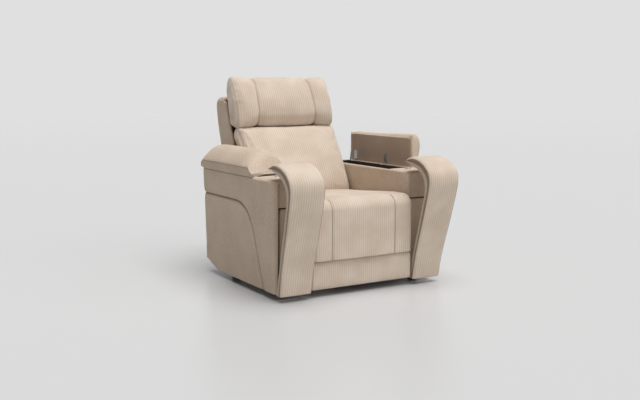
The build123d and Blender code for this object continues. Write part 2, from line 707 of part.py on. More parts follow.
def mechanism_plates():
    """Steel plates on legs: seat beam, torque tube bearings and the footrest's pivot pins."""
    x = (PLATE_INNER, PLATE_INNER + PLATE)
    beam_z = (DECK - RAIL_HIGH, DECK)
    middle = (beam_z[0] + beam_z[1]) / 2
    plate = slab(x, (SEAT_FRAME_FRONT, BACK_AXIS[0]), beam_z)
    plate += strap(FOOT_AXIS, (TUBE_PLACES[0], middle), 2 * HUB, x)
    plate += strap(CRANK_AXIS, (CRANK_AXIS[0], beam_z[0]), 3 * HUB, x)
    plate += rod(1.5 * HUB, x, BACK_AXIS)
    for place in TUBE_PLACES:
        plate += slab(x, (place - TUBE / 2, place + TUBE / 2), (TUBE_TOP, middle))
    for axis in (CRANK_AXIS, BACK_AXIS):
        plate -= rod(SHAFT + PIN_FIT, x, axis)
    plate += rod(PIVOT_PIN, (PLATE_INNER, CRANK_X + PLATE), FOOT_AXIS)
    return both_sides(plate)


def slotted_lever(axis, swing, play, x):
    """Lever under a torque tube, with a slot for the drive's pin, turned back by half its swing."""
    near = axis[1] - DRIVE_PIN_Z
    far = near / math.cos(math.radians(swing / 2))
    end = (axis[0], axis[1] - far)
    body = strap(axis, end, LEVER_WIDE, x)
    slot = strap((axis[0], axis[1] - near), end, 2 * (DRIVE_PIN + play), x)
    return (body - slot).rotate(Axis((0, *axis), (1, 0, 0)), swing / 2)


def torque_tube(axis, half, lever):
    """A tube along X with its lever welded on."""
    x = (-half, half)
    return rod(SHAFT, x, axis) + lever - rod(SHAFT - SHAFT_WALL, x, axis)


def lever_span(x):
    return x - LEVER / 2, x + LEVER / 2


def crank_shaft():
    """Footrest torque tube with a crank and link pin at each end."""
    lever = slotted_lever(CRANK_AXIS, FOOT_LIFT, FOOT_SLOT_PLAY, lever_span(DRIVE_X))
    shaft = torque_tube(CRANK_AXIS, CRANK_X + PLATE, lever)
    pin = link_pin_at(CRANK_AXIS)
    crank = strap(CRANK_AXIS, pin, 2 * HUB, (CRANK_X, CRANK_X + PLATE))
    crank -= rod(SHAFT, (CRANK_X, CRANK_X + PLATE), CRANK_AXIS)
    crank += rod(LINK_PIN, (LINK_X - LINK_GAP / 2, CRANK_X), pin)
    return shaft + crank + mirrored(crank)


def push_link():
    """Flat link from a crank pin to the footrest bracket, on the right."""
    x = (LINK_X, LINK_X + PLATE)
    ends = [link_pin_at(CRANK_AXIS), link_pin_at(FOOT_AXIS)]
    link = strap(*ends, LINK_WIDTH, x)
    for end in ends:
        link -= rod(LINK_PIN + PIN_FIT, x, end)
    return link


def drive_rail(x, y, tubes):
    """Spindle rail on pads over two cross tubes."""
    low = TUBE_TOP + RAIL_PAD
    across = (x - RAIL_WIDE / 2, x + RAIL_WIDE / 2)
    rail = slab(across, y, (low, low + RAIL_TALL))
    groove = slab(lever_span(x), y, (low + RAIL_TALL / 2, low + RAIL_TALL))
    rail -= groove
    for place in tubes:
        rail += slab(across, (place - TUBE / 2, place + TUBE / 2), (TUBE_TOP, low))
    return rail


def drive_motor(x, y, away):
    """Gearbox on the rail's end with its motor lying across, to one side."""
    middle = y + GEARBOX / 2
    side = x + away * GEARBOX / 2
    gearbox = slab((x - GEARBOX / 2, x + GEARBOX / 2), (y, y + GEARBOX), (TUBE_Z, TUBE_Z + GEARBOX))
    gearbox = soften(gearbox, GEARBOX / 10, Axis.Z)
    span = tuple(sorted((side, side + away * MOTOR_LONG)))
    motor = rod(MOTOR_RADIUS, span, (middle, TUBE_Z + GEARBOX / 2))
    return gearbox + motor


def drive_slider(x, pin_y):
    """Nut block astride a rail, with cheeks that hold the cross pin."""
    low = TUBE_TOP + RAIL_PAD
    top = low + RAIL_TALL + RUN
    wide = RAIL_WIDE / 2 + LEVER
    y = (pin_y - SLIDER_LONG / 2, pin_y + SLIDER_LONG / 2)
    cheek_y = (pin_y - LEVER_WIDE / 2, pin_y + LEVER_WIDE / 2)
    block = slab((x - wide, x + wide), y, (top, top + LEVER))
    for side in (-1, 1):
        skirt = tuple(sorted((x + side * (RAIL_WIDE / 2 + RUN), x + side * wide)))
        cheek = tuple(sorted((x + side * LEVER * 0.75, x + side * LEVER * 1.75)))
        block += slab(skirt, y, (low + RAIL_PAD, top))
        block += slab(cheek, cheek_y, (top, DRIVE_PIN_Z + 2 * DRIVE_PIN))
    return block + rod(DRIVE_PIN, (x - LEVER * 1.75, x + LEVER * 1.75), (pin_y, DRIVE_PIN_Z))


def slider_start(axis, swing):
    """Y of a drive's pin at rest: its lever is turned back by half the swing."""
    return axis[0] + (axis[1] - DRIVE_PIN_Z) * math.tan(math.radians(swing / 2))


def rear_skirt():
    """Low padded panel between the arms at the rear."""
    y = (ARM_REAR - PANEL, ARM_REAR - PANEL + SKIRT_THICK)
    return slab((-ARM_INNER, ARM_INNER), y, (SKIRT_LOW, SKIRT_TOP))


# Back and headrest


def lumbar_normal():
    """Unit vector from the lumbar cushion's front to its rear, in side view."""
    rise = (LUMBAR_HEAD[0] - LUMBAR_FOOT[0], LUMBAR_HEAD[1] - LUMBAR_FOOT[1])
    length = math.hypot(*rise)
    return rise[1] / length, -rise[0] / length


def behind_lumbar(point, distance):
    normal = lumbar_normal()
    return point[0] + distance * normal[0], point[1] + distance * normal[1]


def lumbar_profile(depth):
    """Side view of the lumbar cushion: bowed front, swelling top and foot."""
    foot, middle, head = (behind_lumbar(p, depth) for p in (LUMBAR_FOOT, LUMBAR_MID, LUMBAR_HEAD))
    foot_rear, head_rear = (behind_lumbar(p, LUMBAR_THICK) for p in (LUMBAR_FOOT, LUMBAR_HEAD))
    top, low = along(head, head_rear, 0.4), along(foot, foot_rear, 0.4)
    return closed(
        ThreePointArc(foot, middle, head),
        ThreePointArc(head, (top[0], top[1] + CROWN), head_rear),
        Line(head_rear, foot_rear),
        ThreePointArc(foot_rear, (low[0], low[1] - CROWN), foot),
    )


def upright_outline():
    """Side view of a back upright: hub, straight stretch behind the cushion, set-back head."""
    low = behind_lumbar(LUMBAR_FOOT, LUMBAR_THICK + RUN)
    high = behind_lumbar(LUMBAR_HEAD, LUMBAR_THICK + RUN)
    rear_low = behind_lumbar(LUMBAR_FOOT, LUMBAR_THICK + UPRIGHT_WIDE)
    rear_high = behind_lumbar(LUMBAR_HEAD, LUMBAR_THICK + UPRIGHT_WIDE)
    head_front, head_rear = HEAD_RAIL[0] + RAIL_HIGH / 2, SHELL_REAR_HIGH[0] - 2 * UPRIGHT
    head_top = SHELL_FRONT_HIGH[1] - SHELL_WALL - RUN
    blade = polygon(low, high, (head_front, HEAD_RAIL[1] + RAIL), (head_front + UPRIGHT, head_top),
                    (head_rear, head_top), rear_high, rear_low)
    return blade


def back_uprights():
    """Two wooden uprights on the torque tube."""
    x = (LINK_X, LINK_X + UPRIGHT)
    low = behind_lumbar(LUMBAR_FOOT, LUMBAR_THICK + UPRIGHT_WIDE / 2)
    upright = from_side(upright_outline(), x) + strap(BACK_AXIS, low, 2 * SHAFT + LINK_WIDTH / 2, x)
    return both_sides(upright - rod(SHAFT, x, BACK_AXIS))


def back_rails():
    """Wooden rails between the uprights; the top one carries the headrest."""
    x = (-LINK_X, LINK_X)
    rails = []
    for share in (0.12, 0.62):
        middle = behind_lumbar(along(LUMBAR_FOOT, LUMBAR_HEAD, share), LUMBAR_THICK + UPRIGHT_WIDE / 2)
        lean = math.degrees(math.atan2(-lumbar_normal()[0], lumbar_normal()[1])) + 180
        rails += from_side(Pos(*middle) * Rot(0, 0, lean) * Rectangle(2 * RAIL_HIGH, RAIL), x).solids()
    top = slab(x, (HEAD_RAIL[0], HEAD_RAIL[0] + RAIL_HIGH), (HEAD_RAIL[1], HEAD_RAIL[1] + RAIL))
    return Compound(children=rails + list(top.solids()))


def back_shell():
    """Padded rear shell with an open front, round the frame."""
    outline = polygon(SHELL_FRONT_LOW, SHELL_FRONT_HIGH, SHELL_REAR_HIGH, SHELL_REAR_MID, SHELL_REAR_LOW)
    outside = from_side(outline, (-SEAT_HALF, SEAT_HALF))
    upper = outside.edges().filter_by(Axis.X).sort_by(Axis.Z)[-2:]
    outside = fillet(upper, SHELL_WALL)
    wall = SHELL_WALL
    low, high = SHELL_FRONT_LOW[1] + wall, SHELL_FRONT_HIGH[1] - wall
    inside = polygon((SHELL_FRONT_LOW[0] - 2 * wall, low), (SHELL_FRONT_HIGH[0] - 4 * wall, high),
                     (SHELL_REAR_HIGH[0] - wall, high), (SHELL_REAR_MID[0] - wall, SHELL_REAR_MID[1]),
                     (SHELL_REAR_LOW[0] - wall, low))
    half = SEAT_HALF - wall
    return outside - from_side(inside, (-half, half))


def headrest_places():
    """Side-view corners of the headrest above its roll: front top and rear top."""
    front_top = (HEAD_AXIS[0] - HEAD_ROLL + HEAD_LEAN, HEAD_TOP - HEAD_THICK / 3)
    return front_top, (front_top[0] + HEAD_THICK, front_top[1])


def headrest_profile(depth):
    """Side view of the headrest: lower roll about its pivot, leaning front, rounded top."""
    y, z = HEAD_AXIS
    radius = HEAD_ROLL - depth
    slant = math.sqrt(0.5) * radius
    front_top, rear_top = headrest_places()
    front, low, rear = (y - radius, z), (y, z - radius), (y + radius, z)
    front_top = (front_top[0] + depth, front_top[1] - depth)
    rear_top = (rear_top[0] - depth, rear_top[1] - depth)
    crest = along(front_top, rear_top, 0.5)
    return closed(
        Line(front_top, front),
        ThreePointArc(front, (y - slant, z - slant), low),
        ThreePointArc(low, (y + slant, z - slant), rear),
        Line(rear, rear_top),
        ThreePointArc(rear_top, (crest[0], HEAD_TOP - depth), front_top),
    )


def headrest_board():
    """Plywood board let into the headrest's rear."""
    low, high = (HEAD_AXIS[0] + HEAD_ROLL, HEAD_AXIS[1]), headrest_places()[1]
    foot, head = along(low, high, 0.2), along(low, high, 0.85)
    outline = polygon(foot, head, (head[0] - HEAD_BOARD, head[1]), (foot[0] - HEAD_BOARD, foot[1]))
    half = HEAD_HALF - 3 * SIDE_DRAW
    return from_side(outline, (-half, half))


def headrest_ears():
    """Steel ears from the headrest's board down to its pivot pins."""
    x = (HEAD_EAR_X + PLATE + LINK_GAP, HEAD_EAR_X + 2 * PLATE + LINK_GAP)
    low, high = (HEAD_AXIS[0] + HEAD_ROLL, HEAD_AXIS[1]), headrest_places()[1]
    foot, head = along(low, high, 0.2), along(low, high, 0.45)
    edge, inset = HEAD_BOARD, HEAD_BOARD + 2 * HEAD_HUB
    blade = polygon((foot[0] - edge, foot[1]), (head[0] - edge, head[1]), (head[0] - inset, head[1]),
                    (foot[0] - inset, foot[1]))
    stem = strap(HEAD_AXIS, (foot[0] - edge - HEAD_HUB, foot[1]), 2 * HEAD_HUB, x)
    return both_sides(from_side(blade, x) + stem - rod(HEAD_PIN + PIN_FIT, x, HEAD_AXIS))


def headrest_brackets():
    """Steel brackets on the top rail of the back, with the headrest's pivot pins."""
    x = (HEAD_EAR_X, HEAD_EAR_X + PLATE)
    foot = (HEAD_RAIL[0] - HEAD_HUB, HEAD_RAIL[1] + RAIL / 2)
    plate = strap(HEAD_AXIS, foot, 2 * HEAD_HUB, x)
    plate += slab(x, (foot[0], HEAD_RAIL[0]), (HEAD_RAIL[1], HEAD_RAIL[1] + RAIL))
    plate += rod(HEAD_PIN, (HEAD_EAR_X, HEAD_EAR_X + 2 * PLATE + LINK_GAP), HEAD_AXIS)
    rail_room = slab(x, (HEAD_RAIL[0], HEAD_RAIL[0] + RAIL_HIGH), (HEAD_RAIL[1], HEAD_RAIL[1] + RAIL))
    return both_sides(plate - rail_room)


def headrest_cushion():
    """Three-lobed headrest with slots for its hinges and a recess for its board."""
    cushion = soft_loft(headrest_profile, lobes(HEAD_HALF, HEAD_SEAM)) - headrest_board()
    y, z = HEAD_AXIS
    x = (HEAD_EAR_X - LINK_GAP, HEAD_EAR_X + 2 * PLATE + 2 * LINK_GAP)
    high = along((y, z), headrest_places()[1], 0.45)[1] + LINK_GAP
    rear = y + HEAD_ROLL + HEAD_THICK
    swing = HEAD_ROLL * math.sin(math.radians(HEAD_TILT)) / 2
    front = y - HEAD_HUB - LINK_GAP - swing
    slot = slab(x, (front, rear), (z - 2 * HEAD_ROLL, high))
    return cushion - slot - mirrored(slot)


# Nodes


def arm_nodes():
    """Right-hand arm pieces by name; the left arm mirrors them."""
    return {
        "arm_frame": arm_frame(),
        "arm_inner_panel": arm_inner_panel(),
        "arm_outer_panel": arm_outer_panel(),
        "arm_yoke": arm_yoke(),
        "arm_shelf_cover": arm_shelf_cover(),
        "arm_facing": arm_facing(),
        "arm_band": arm_band(),
        "storage_bin": storage_bin(),
        "control_cup": control_cup(),
        "button_front": button(rear=False),
        "button_rear": button(rear=True),
        "lid_hinge_leaves": lid_hinge_leaves(),
        "push_link": push_link(),
    }


def lid_nodes():
    """Lid pieces, closed, on the right arm."""
    return {
        "lid_board": lid_board(),
        "lid_pad": lid_pad(),
        "lid_hinge_arms": lid_hinge_arms(),
    }


def middle_nodes():
    """Pieces between the arms."""
    foot_rail_end = TUBE_PLACES[1] + TUBE / 2
    back_rail_start = TUBE_PLACES[1] - TUBE / 2
    back_slider_y = slider_start(BACK_AXIS, BACK_RECLINE)
    foot_rail = (TUBE_PLACES[0] - TUBE / 2, foot_rail_end)
    back_rail = (back_rail_start, back_slider_y + SLIDER_LONG)
    back_lever = slotted_lever(BACK_AXIS, BACK_RECLINE, BACK_SLOT_PLAY, lever_span(-DRIVE_X))
    return {
        "glides": glides(),
        "cross_tubes": cross_tubes(),
        "mechanism_plates": mechanism_plates(),
        "seat_frame": seat_frame(),
        "seat_webbing": seat_webbing(),
        "seat_cushion": seat_cushion(),
        "rear_skirt": rear_skirt(),
        "footrest_board": footrest_board(),
        "footrest_pad": soft_loft(front_pad_profile, lobes(SEAT_HALF, SEAT_SEAM)),
        "footrest_lower_pad": soft_loft(lower_pad_profile, crowned(SEAT_HALF)),
        "footrest_brackets": footrest_brackets(),
        "crank_shaft": crank_shaft(),
        "footrest_drive_rail": drive_rail(DRIVE_X, foot_rail, TUBE_PLACES[:2]),
        "footrest_drive_motor": drive_motor(DRIVE_X, foot_rail_end, 1),
        "footrest_drive_slider": drive_slider(DRIVE_X, slider_start(CRANK_AXIS, FOOT_LIFT)),
        "back_drive_rail": drive_rail(-DRIVE_X, back_rail, TUBE_PLACES[1:]),
        "back_drive_motor": drive_motor(-DRIVE_X, back_rail_start - GEARBOX, -1),
        "back_drive_slider": drive_slider(-DRIVE_X, back_slider_y),
        "back_torque_tube": torque_tube(BACK_AXIS, LINK_X + UPRIGHT, back_lever),
        "back_uprights": back_uprights(),
        "back_rails": back_rails(),
        "back_shell": back_shell(),
        "lumbar_cushion": soft_loft(lumbar_profile, crowned(SEAT_HALF)),
        "headrest_brackets": headrest_brackets(),
        "headrest_board": headrest_board(),
        "headrest_ears": headrest_ears(),
        "headrest_cushion": headrest_cushion(),
    }


def main():
    os.makedirs("parts", exist_ok=True)
    nodes = middle_nodes()
    for name, shape in arm_nodes().items():
        nodes["right_" + name] = shape
        nodes["left_" + name] = mirrored(shape)
    for name, shape in lid_nodes().items():
        nodes["right_" + name] = opened(shape)
        nodes["left_" + name] = mirrored(shape)
    for name, shape in nodes.items():
        export_step(shape, f"parts/{name}.step")


main()
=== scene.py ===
"""Power recliner armchair with storage arms: upholstery, finishes, light and camera round its CAD frame."""
import math

import bmesh
import bpy
import numpy as np
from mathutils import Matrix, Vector


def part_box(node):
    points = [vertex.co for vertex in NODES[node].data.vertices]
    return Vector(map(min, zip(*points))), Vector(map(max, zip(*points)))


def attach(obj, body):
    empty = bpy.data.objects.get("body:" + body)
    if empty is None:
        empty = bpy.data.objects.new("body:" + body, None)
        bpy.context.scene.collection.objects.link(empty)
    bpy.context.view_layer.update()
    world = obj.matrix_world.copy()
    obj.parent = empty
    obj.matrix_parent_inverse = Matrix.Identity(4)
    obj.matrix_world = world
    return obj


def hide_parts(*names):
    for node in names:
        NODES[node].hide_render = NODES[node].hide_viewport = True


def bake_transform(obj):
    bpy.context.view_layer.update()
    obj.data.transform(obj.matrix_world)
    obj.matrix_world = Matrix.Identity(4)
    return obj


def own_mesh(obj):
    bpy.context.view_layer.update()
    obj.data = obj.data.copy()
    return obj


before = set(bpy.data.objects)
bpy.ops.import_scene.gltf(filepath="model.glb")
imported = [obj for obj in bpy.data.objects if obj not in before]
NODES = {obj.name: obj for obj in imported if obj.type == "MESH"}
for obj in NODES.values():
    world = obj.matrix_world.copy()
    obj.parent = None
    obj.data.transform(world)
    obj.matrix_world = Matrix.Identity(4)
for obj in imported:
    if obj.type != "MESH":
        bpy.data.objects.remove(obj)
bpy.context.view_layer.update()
MM = 0.001

# Places shared with the CAD frame, in millimetres
FRONT = -455.0
ARM_INNER, ARM_OUTER = 290.0, 454.0
ARM_FRONT, ARM_REAR, ARM_TOP = -401.0, 375.0, 557.0
FLOOR_GAP, PANEL = 30.0, 14.0
LID_FRONT, LID_REAR, LID_UNDER = -207.0, 383.0, 560.0
LID_HINGE = (457.0, 553.0)
FOOT_AXIS = (-403.0, 403.0)
NOSE = 52.0
SEAT_HALF = 285.0
SEAT_SEAM, SEAT_CROSS_SEAM, PANEL_CORNER = 178.0, -258.0, 100.0
HEAD_HALF, HEAD_LOW, HEAD_TOP, HEAD_SEAM = 305.0, 754.0, 1026.0, 174.0
LUMBAR_HALF, LUMBAR_LOW, LUMBAR_TOP = 288.0, 376.0, 760.0

# Sizes of the upholstery alone, in millimetres
HEAD_MIDDLE, LUMBAR_MIDDLE = np.array([382.0, 880.0]), np.array([243.0, 566.0])
LUMBAR_FLARE = 0.045
LID_CREASE, LID_MIDDLE = 40.0, 380.0
ARM_CORNER, ARM_RETURN, ARM_REAR_CORNER = 18.0, 436.0, 10.0
ARM_SEAM_Z, ARM_REAR_LIFT = 424.0, 51.75
RIB_PITCH = 12.0

# Radii of the seam cords and welts, in millimetres
SEAT_CORD, ARM_CORD, BAND_WELT, LID_WELT = 1.7, 2.6, 2.0, 1.6

# Points round a quarter-round edge, between two such edges, down a strip's side and over its face
EDGE_TURNS, STRIP_STEPS, STRIP_SIDE = 7, 26, 4
STRIP_FACE = 2 * EDGE_TURNS + STRIP_STEPS - 2


# Curves and surfaces


def smooth(points, count, closed=False):
    """Catmull-Rom curve through the points, as count points at even steps of its length."""
    p = np.asarray(points, float)
    if closed:
        p = np.vstack([p[-1], p, p[0], p[1]])
    else:
        p = np.vstack([2 * p[0] - p[1], p, 2 * p[-1] - p[-2]])
    t = np.linspace(0, 1, 40, endpoint=False)[None, :, None]
    a, b, c, d = (p[i:len(p) - 3 + i, None, :] for i in range(4))
    curve = b + 0.5 * t * (c - a) + t**2 * (a - 2.5 * b + 2 * c - 0.5 * d)
    curve = (curve + t**3 * (1.5 * (b - c) + 0.5 * (d - a))).reshape(-1, p.shape[1])
    return even(np.vstack([curve, p[-2]]), count, closed)


def even(points, count, closed=False):
    """The same polyline, as count points at even steps of its length; a closed one leaves its last out."""
    p = np.asarray(points, float)
    reach = np.concatenate([[0], np.cumsum(np.linalg.norm(np.diff(p, axis=0), axis=1))])
    at = np.linspace(0, reach[-1], count, endpoint=not closed)
    return np.stack([np.interp(at, reach, p[:, k]) for k in range(p.shape[1])], axis=1)


def outward(loop, closed=True):
    """Unit normals of a flat curve: its tangent turned a quarter, away from the inside of a closed loop."""
    if closed:
        along = np.roll(loop, -1, axis=0) - np.roll(loop, 1, axis=0)
    else:
        along = np.gradient(loop, axis=0)
    normal = np.stack([along[:, 1], -along[:, 0]], axis=1)
    normal /= np.linalg.norm(normal, axis=1)[:, None] + 1e-12
    area = np.sum(loop[:, 0] * np.roll(loop[:, 1], -1) - np.roll(loop[:, 0], -1) * loop[:, 1])
    return normal if area > 0 or not closed else -normal


def bell(distance, width):
    """1 on a line, falling to 0 beside it as a Gaussian of that width."""
    return np.exp(-(distance / width) ** 2)


def ease(x, low, high):
    """0 below low, 1 above high, smooth between."""
    t = np.clip((x - low) / (high - low), 0, 1)
    return t * t * (3 - 2 * t)


def shell_faces(rings, around):
    """Quads between rings of a closed tube, and triangles from its two end rings to two poles."""
    i = np.arange(rings - 1)[:, None] * around
    j = np.arange(around)[None, :]
    k = (j + 1) % around
    quads = np.stack([i + j, i + k, i + around + k, i + around + j], axis=-1).reshape(-1, 4)
    first, last = rings * around, rings * around + 1
    j, k = j[0], k[0]
    top = (rings - 1) * around
    poles = [np.stack([k, j, np.full(around, first)], axis=1),
             np.stack([top + j, top + k, np.full(around, last)], axis=1)]
    return quads.tolist() + np.vstack(poles).tolist()


def piece(name, points, faces, material, body):
    """A smooth-shaded mesh object from points in millimetres, riding on a body, with its normals outwards."""
    mesh = bpy.data.meshes.new(name)
    mesh.from_pydata((np.asarray(points) * MM).tolist(), [], faces)
    mesh.validate()
    obj = bpy.data.objects.new(name, mesh)
    bpy.context.scene.collection.objects.link(obj)
    face_out(obj)
    mesh.polygons.foreach_set("use_smooth", np.ones(len(mesh.polygons), bool))
    mesh.materials.append(material)
    if body:
        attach(obj, body)
    return obj


def face_out(obj):
    """Merges doubled points and turns all faces outwards."""
    mesh = bmesh.new()
    mesh.from_mesh(obj.data)
    bmesh.ops.remove_doubles(mesh, verts=mesh.verts, dist=1e-6)
    bmesh.ops.recalc_face_normals(mesh, faces=mesh.faces)
    mesh.to_mesh(obj.data)
    mesh.free()


def capped(rings):
    """Points and faces of a closed body from rings: its ends shrink to their middles in even steps."""
    rings = np.asarray(rings, float)

    def shrink(ring, shares):
        middle = ring.mean(axis=0)
        return np.stack([middle + (ring - middle) * share for share in shares])

    shares = (0.8, 0.55, 0.3, 0.1)
    body = np.concatenate([shrink(rings[0], shares[::-1]), rings, shrink(rings[-1], shares)])
    poles = np.stack([rings[0].mean(axis=0), rings[-1].mean(axis=0)])
    points = np.vstack([body.reshape(-1, 3), poles])
    return points, shell_faces(len(body), body.shape[1])


def tube(name, path, radius, body):
    """A welt or seam cord: a circle of eight points square to the path's tangent, carried along the path."""
    path = np.asarray(path, float)
    along = np.gradient(path, axis=0)
    along /= np.linalg.norm(along, axis=1)[:, None]
    side = np.cross(along, np.where(np.abs(along[:, :1]) > 0.9, [[0, 0, 1.0]], [[1.0, 0, 0]]))
    side /= np.linalg.norm(side, axis=1)[:, None]
    up = np.cross(along, side)
    angle = np.linspace(0, 2 * np.pi, 8, endpoint=False)[None, :, None]
    rings = path[:, None] + radius * (np.cos(angle) * side[:, None] + np.sin(angle) * up[:, None])
    points, faces = capped(rings)
    return piece(name, points, faces, WELT_AND_SEAM_SHADE, body)


def across(half, corner, steps, turns=EDGE_TURNS):
    """X stations from side to side and how far each is drawn in: quarter circles at both sides."""
    angle = np.linspace(0, np.pi / 2, turns)
    edge, draw = half - corner + corner * np.cos(angle), corner * (1 - np.sin(angle))
    middle = np.linspace(edge[-1], -edge[-1], steps)[1:-1]
    x = np.concatenate([edge, middle, -edge[::-1]])
    return x, np.concatenate([draw, np.zeros(len(middle)), draw[::-1]])


def side_loft(outline, x, inset):
    """Rings of a side-view outline (Y, Z) at each X, drawn in along its normals by inset (X by outline)."""
    normal = outward(outline)
    return with_x(x[:, None], outline[None] - inset[..., None] * normal[None])


def with_x(x, flat):
    """A grid of points in space from their X, spread over the grid, and their side-view places (Y, Z)."""
    return np.concatenate([np.broadcast_to(x[..., None], flat.shape[:2] + (1,)), flat], axis=2)


# Finishes


def shade(code):
    """A linear colour from an sRGB hex code."""
    s = np.array([int(code[i:i + 2], 16) for i in (1, 3, 5)]) / 255
    linear = np.where(s <= 0.04045, s / 12.92, ((s + 0.055) / 1.055) ** 2.4)
    return (*linear.tolist(), 1.0)


def node(tree, kind, settings=None, links=None, **sockets):
    """Adds a node: its settings, its input sockets by name, and links as input: (node, output)."""
    made = tree.nodes.new(kind)
    for key, value in (settings or {}).items():
        setattr(made, key, value)
    for key, value in sockets.items():
        made.inputs[key.replace("_", " ")].default_value = value
    for key, (source, output) in (links or {}).items():
        tree.links.new(source.outputs[output], made.inputs[key])
    return made


def finish(name, **sockets):
    """A new material with its shader's plain values set; returns it, its tree, its shader and, as a node and
    its output, the object's coordinates."""
    material = bpy.data.materials.new(name)
    material.use_nodes = True
    tree = material.node_tree
    shader = tree.nodes["Principled BSDF"]
    for key, value in sockets.items():
        shader.inputs[key.replace("_", " ")].default_value = value
    return material, tree, shader, (node(tree, "ShaderNodeTexCoord"), "Object")


def stretched(tree, place, scale):
    """Coordinates scaled in X, Y and Z, as a node and its output."""
    return node(tree, "ShaderNodeMapping", None, {"Vector": place}, Scale=scale), "Vector"


def noise(tree, place, scale, detail, **sockets):
    """A noise texture at the coordinates."""
    return node(tree, "ShaderNodeTexNoise", None, {"Vector": place}, Scale=scale, Detail=detail, **sockets)


def per_metre(pitch):
    """Scale of a wave texture, whose bands repeat every 2 pi / 20, for a pitch in millimetres."""
    return 2 * math.pi / 20 / (pitch * MM)


def ramp(tree, texture, stops):
    """The colour output of a ramp from (place, hex) stops, fed by a texture."""
    made = node(tree, "ShaderNodeValToRGB", links={"Fac": (texture, "Fac")})
    points = made.color_ramp.elements
    while len(points) < len(stops):
        points.new(0.5)
    for point, (place, code) in zip(points, stops):
        point.position = place
        point.color = shade(code)
    return made.outputs["Color"]


def multiply(tree, first, second):
    """One colour laid over another, as a stain or wear over a ground."""
    mixed = node(tree, "ShaderNodeMix", {"data_type": "RGBA", "blend_type": "MULTIPLY"})
    mixed.inputs[0].default_value = 1.0
    tree.links.new(first, mixed.inputs[6])
    tree.links.new(second, mixed.inputs[7])
    return mixed.outputs[2]


def relief(tree, texture, strength, distance, under=None):
    """Bump from a texture's height, laid over another bump if there is one."""
    links = {"Height": (texture, "Fac")}
    if under:
        links["Normal"] = (under, "Normal")
    return node(tree, "ShaderNodeBump", None, links, Strength=strength, Distance=distance)


def coat(tree, shader, colour, bump):
    """Gives a shader its colour and its bump."""
    tree.links.new(colour, shader.inputs["Base Color"])
    tree.links.new(bump.outputs["Normal"], shader.inputs["Normal"])


def ribbed_cloth():
    """Ribbed corduroy: soft pile ribs, pale on their backs and dark between, with a dry sheen. The real ribs
    are about 8 mm apart; they are drawn wider, as fine as shows at this distance."""
    made = finish("ribbed_corduroy", Roughness=0.95, Sheen_Weight=0.25, Sheen_Roughness=0.5,
                  Specular_IOR_Level=0.2)
    material, tree, shader, place = made
    bands = {"wave_type": "BANDS", "bands_direction": "X", "wave_profile": "SIN"}
    ribs = node(tree, "ShaderNodeTexWave", bands, {"Vector": place}, Scale=per_metre(RIB_PITCH),
                Distortion=0.3, Detail=1.0, Detail_Scale=1.0)
    tone = ramp(tree, ribs, [(0.0, "#C9B9A9"), (0.6, "#D3C3B3"), (1.0, "#D7C8B8")])
    worn = ramp(tree, noise(tree, place, 9.0, 2.0), [(0.35, "#F3F0EC"), (0.65, "#FFFFFF")])
    pile = relief(tree, noise(tree, place, 420.0, 3.0), 0.25, 0.0006)
    coat(tree, shader, multiply(tree, tone, worn), relief(tree, ribs, 0.4, 0.001, under=pile))
    return material


def flat_cloth(name, dark, light, pitch):
    """Plain woven cloth: crossed threads at the pitch, slightly slubby, matt with a little sheen.
    The threads are drawn a few times too coarse, so that they show at this distance."""
    made = finish(name, Roughness=0.92, Sheen_Weight=0.08, Sheen_Roughness=0.5, Specular_IOR_Level=0.15)
    material, tree, shader, place = made
    coarse = 0.35 / (pitch * MM)
    slub = noise(tree, place, coarse, 4.0, Roughness=0.7)
    grain = noise(tree, stretched(tree, place, (1.0, 1.0, 0.25)), coarse * 1.7, 3.0)
    tone = ramp(tree, slub, [(0.3, dark), (0.7, light)])
    worn = ramp(tree, noise(tree, place, 7.0, 2.0), [(0.35, "#F6F4F1"), (0.65, "#FFFFFF")])
    fine = relief(tree, grain, 0.3, 0.0008)
    coat(tree, shader, multiply(tree, tone, worn), relief(tree, slub, 0.3, 0.0008, under=fine))
    return material


def speckled(name, dark, light, scale, bump_height, **sockets):
    """Moulded or coated surface: fine grain at the scale, a slight mottle, gloss from the sockets."""
    material, tree, shader, place = finish(name, **sockets)
    grain = noise(tree, place, scale, 3.0)
    tone = ramp(tree, grain, [(0.3, dark), (0.7, light)])
    coat(tree, shader, tone, relief(tree, grain, 0.4, bump_height))
    return material


def brushed(name, dark, light, **sockets):
    """Drawn or plated metal: long streaks along Y, so its gloss is broken in one direction."""
    material, tree, shader, place = finish(name, **sockets)
    streaks = noise(tree, stretched(tree, place, (1.0, 0.06, 1.0)), 500.0, 4.0)
    tone = ramp(tree, streaks, [(0.3, dark), (0.7, light)])
    coat(tree, shader, tone, relief(tree, streaks, 0.15, 0.0002))
    return material


def plywood():
    """Raw poplar plywood: pale plies with wavy growth rings, unsealed and dull."""
    material, tree, shader, place = finish("poplar_plywood", Roughness=0.8, Specular_IOR_Level=0.3)
    bent = stretched(tree, place, (1.0, 0.2, 0.6))
    rings = node(tree, "ShaderNodeTexWave", {"wave_type": "BANDS", "bands_direction": "Z"}, {"Vector": bent},
                 Scale=per_metre(14.0), Distortion=5.0, Detail=3.0, Detail_Scale=1.2)
    tone = ramp(tree, rings, [(0.0, "#B08F66"), (0.6, "#CDB086"), (1.0, "#DCC49E")])
    coat(tree, shader, tone, relief(tree, rings, 0.2, 0.0004))
    return material


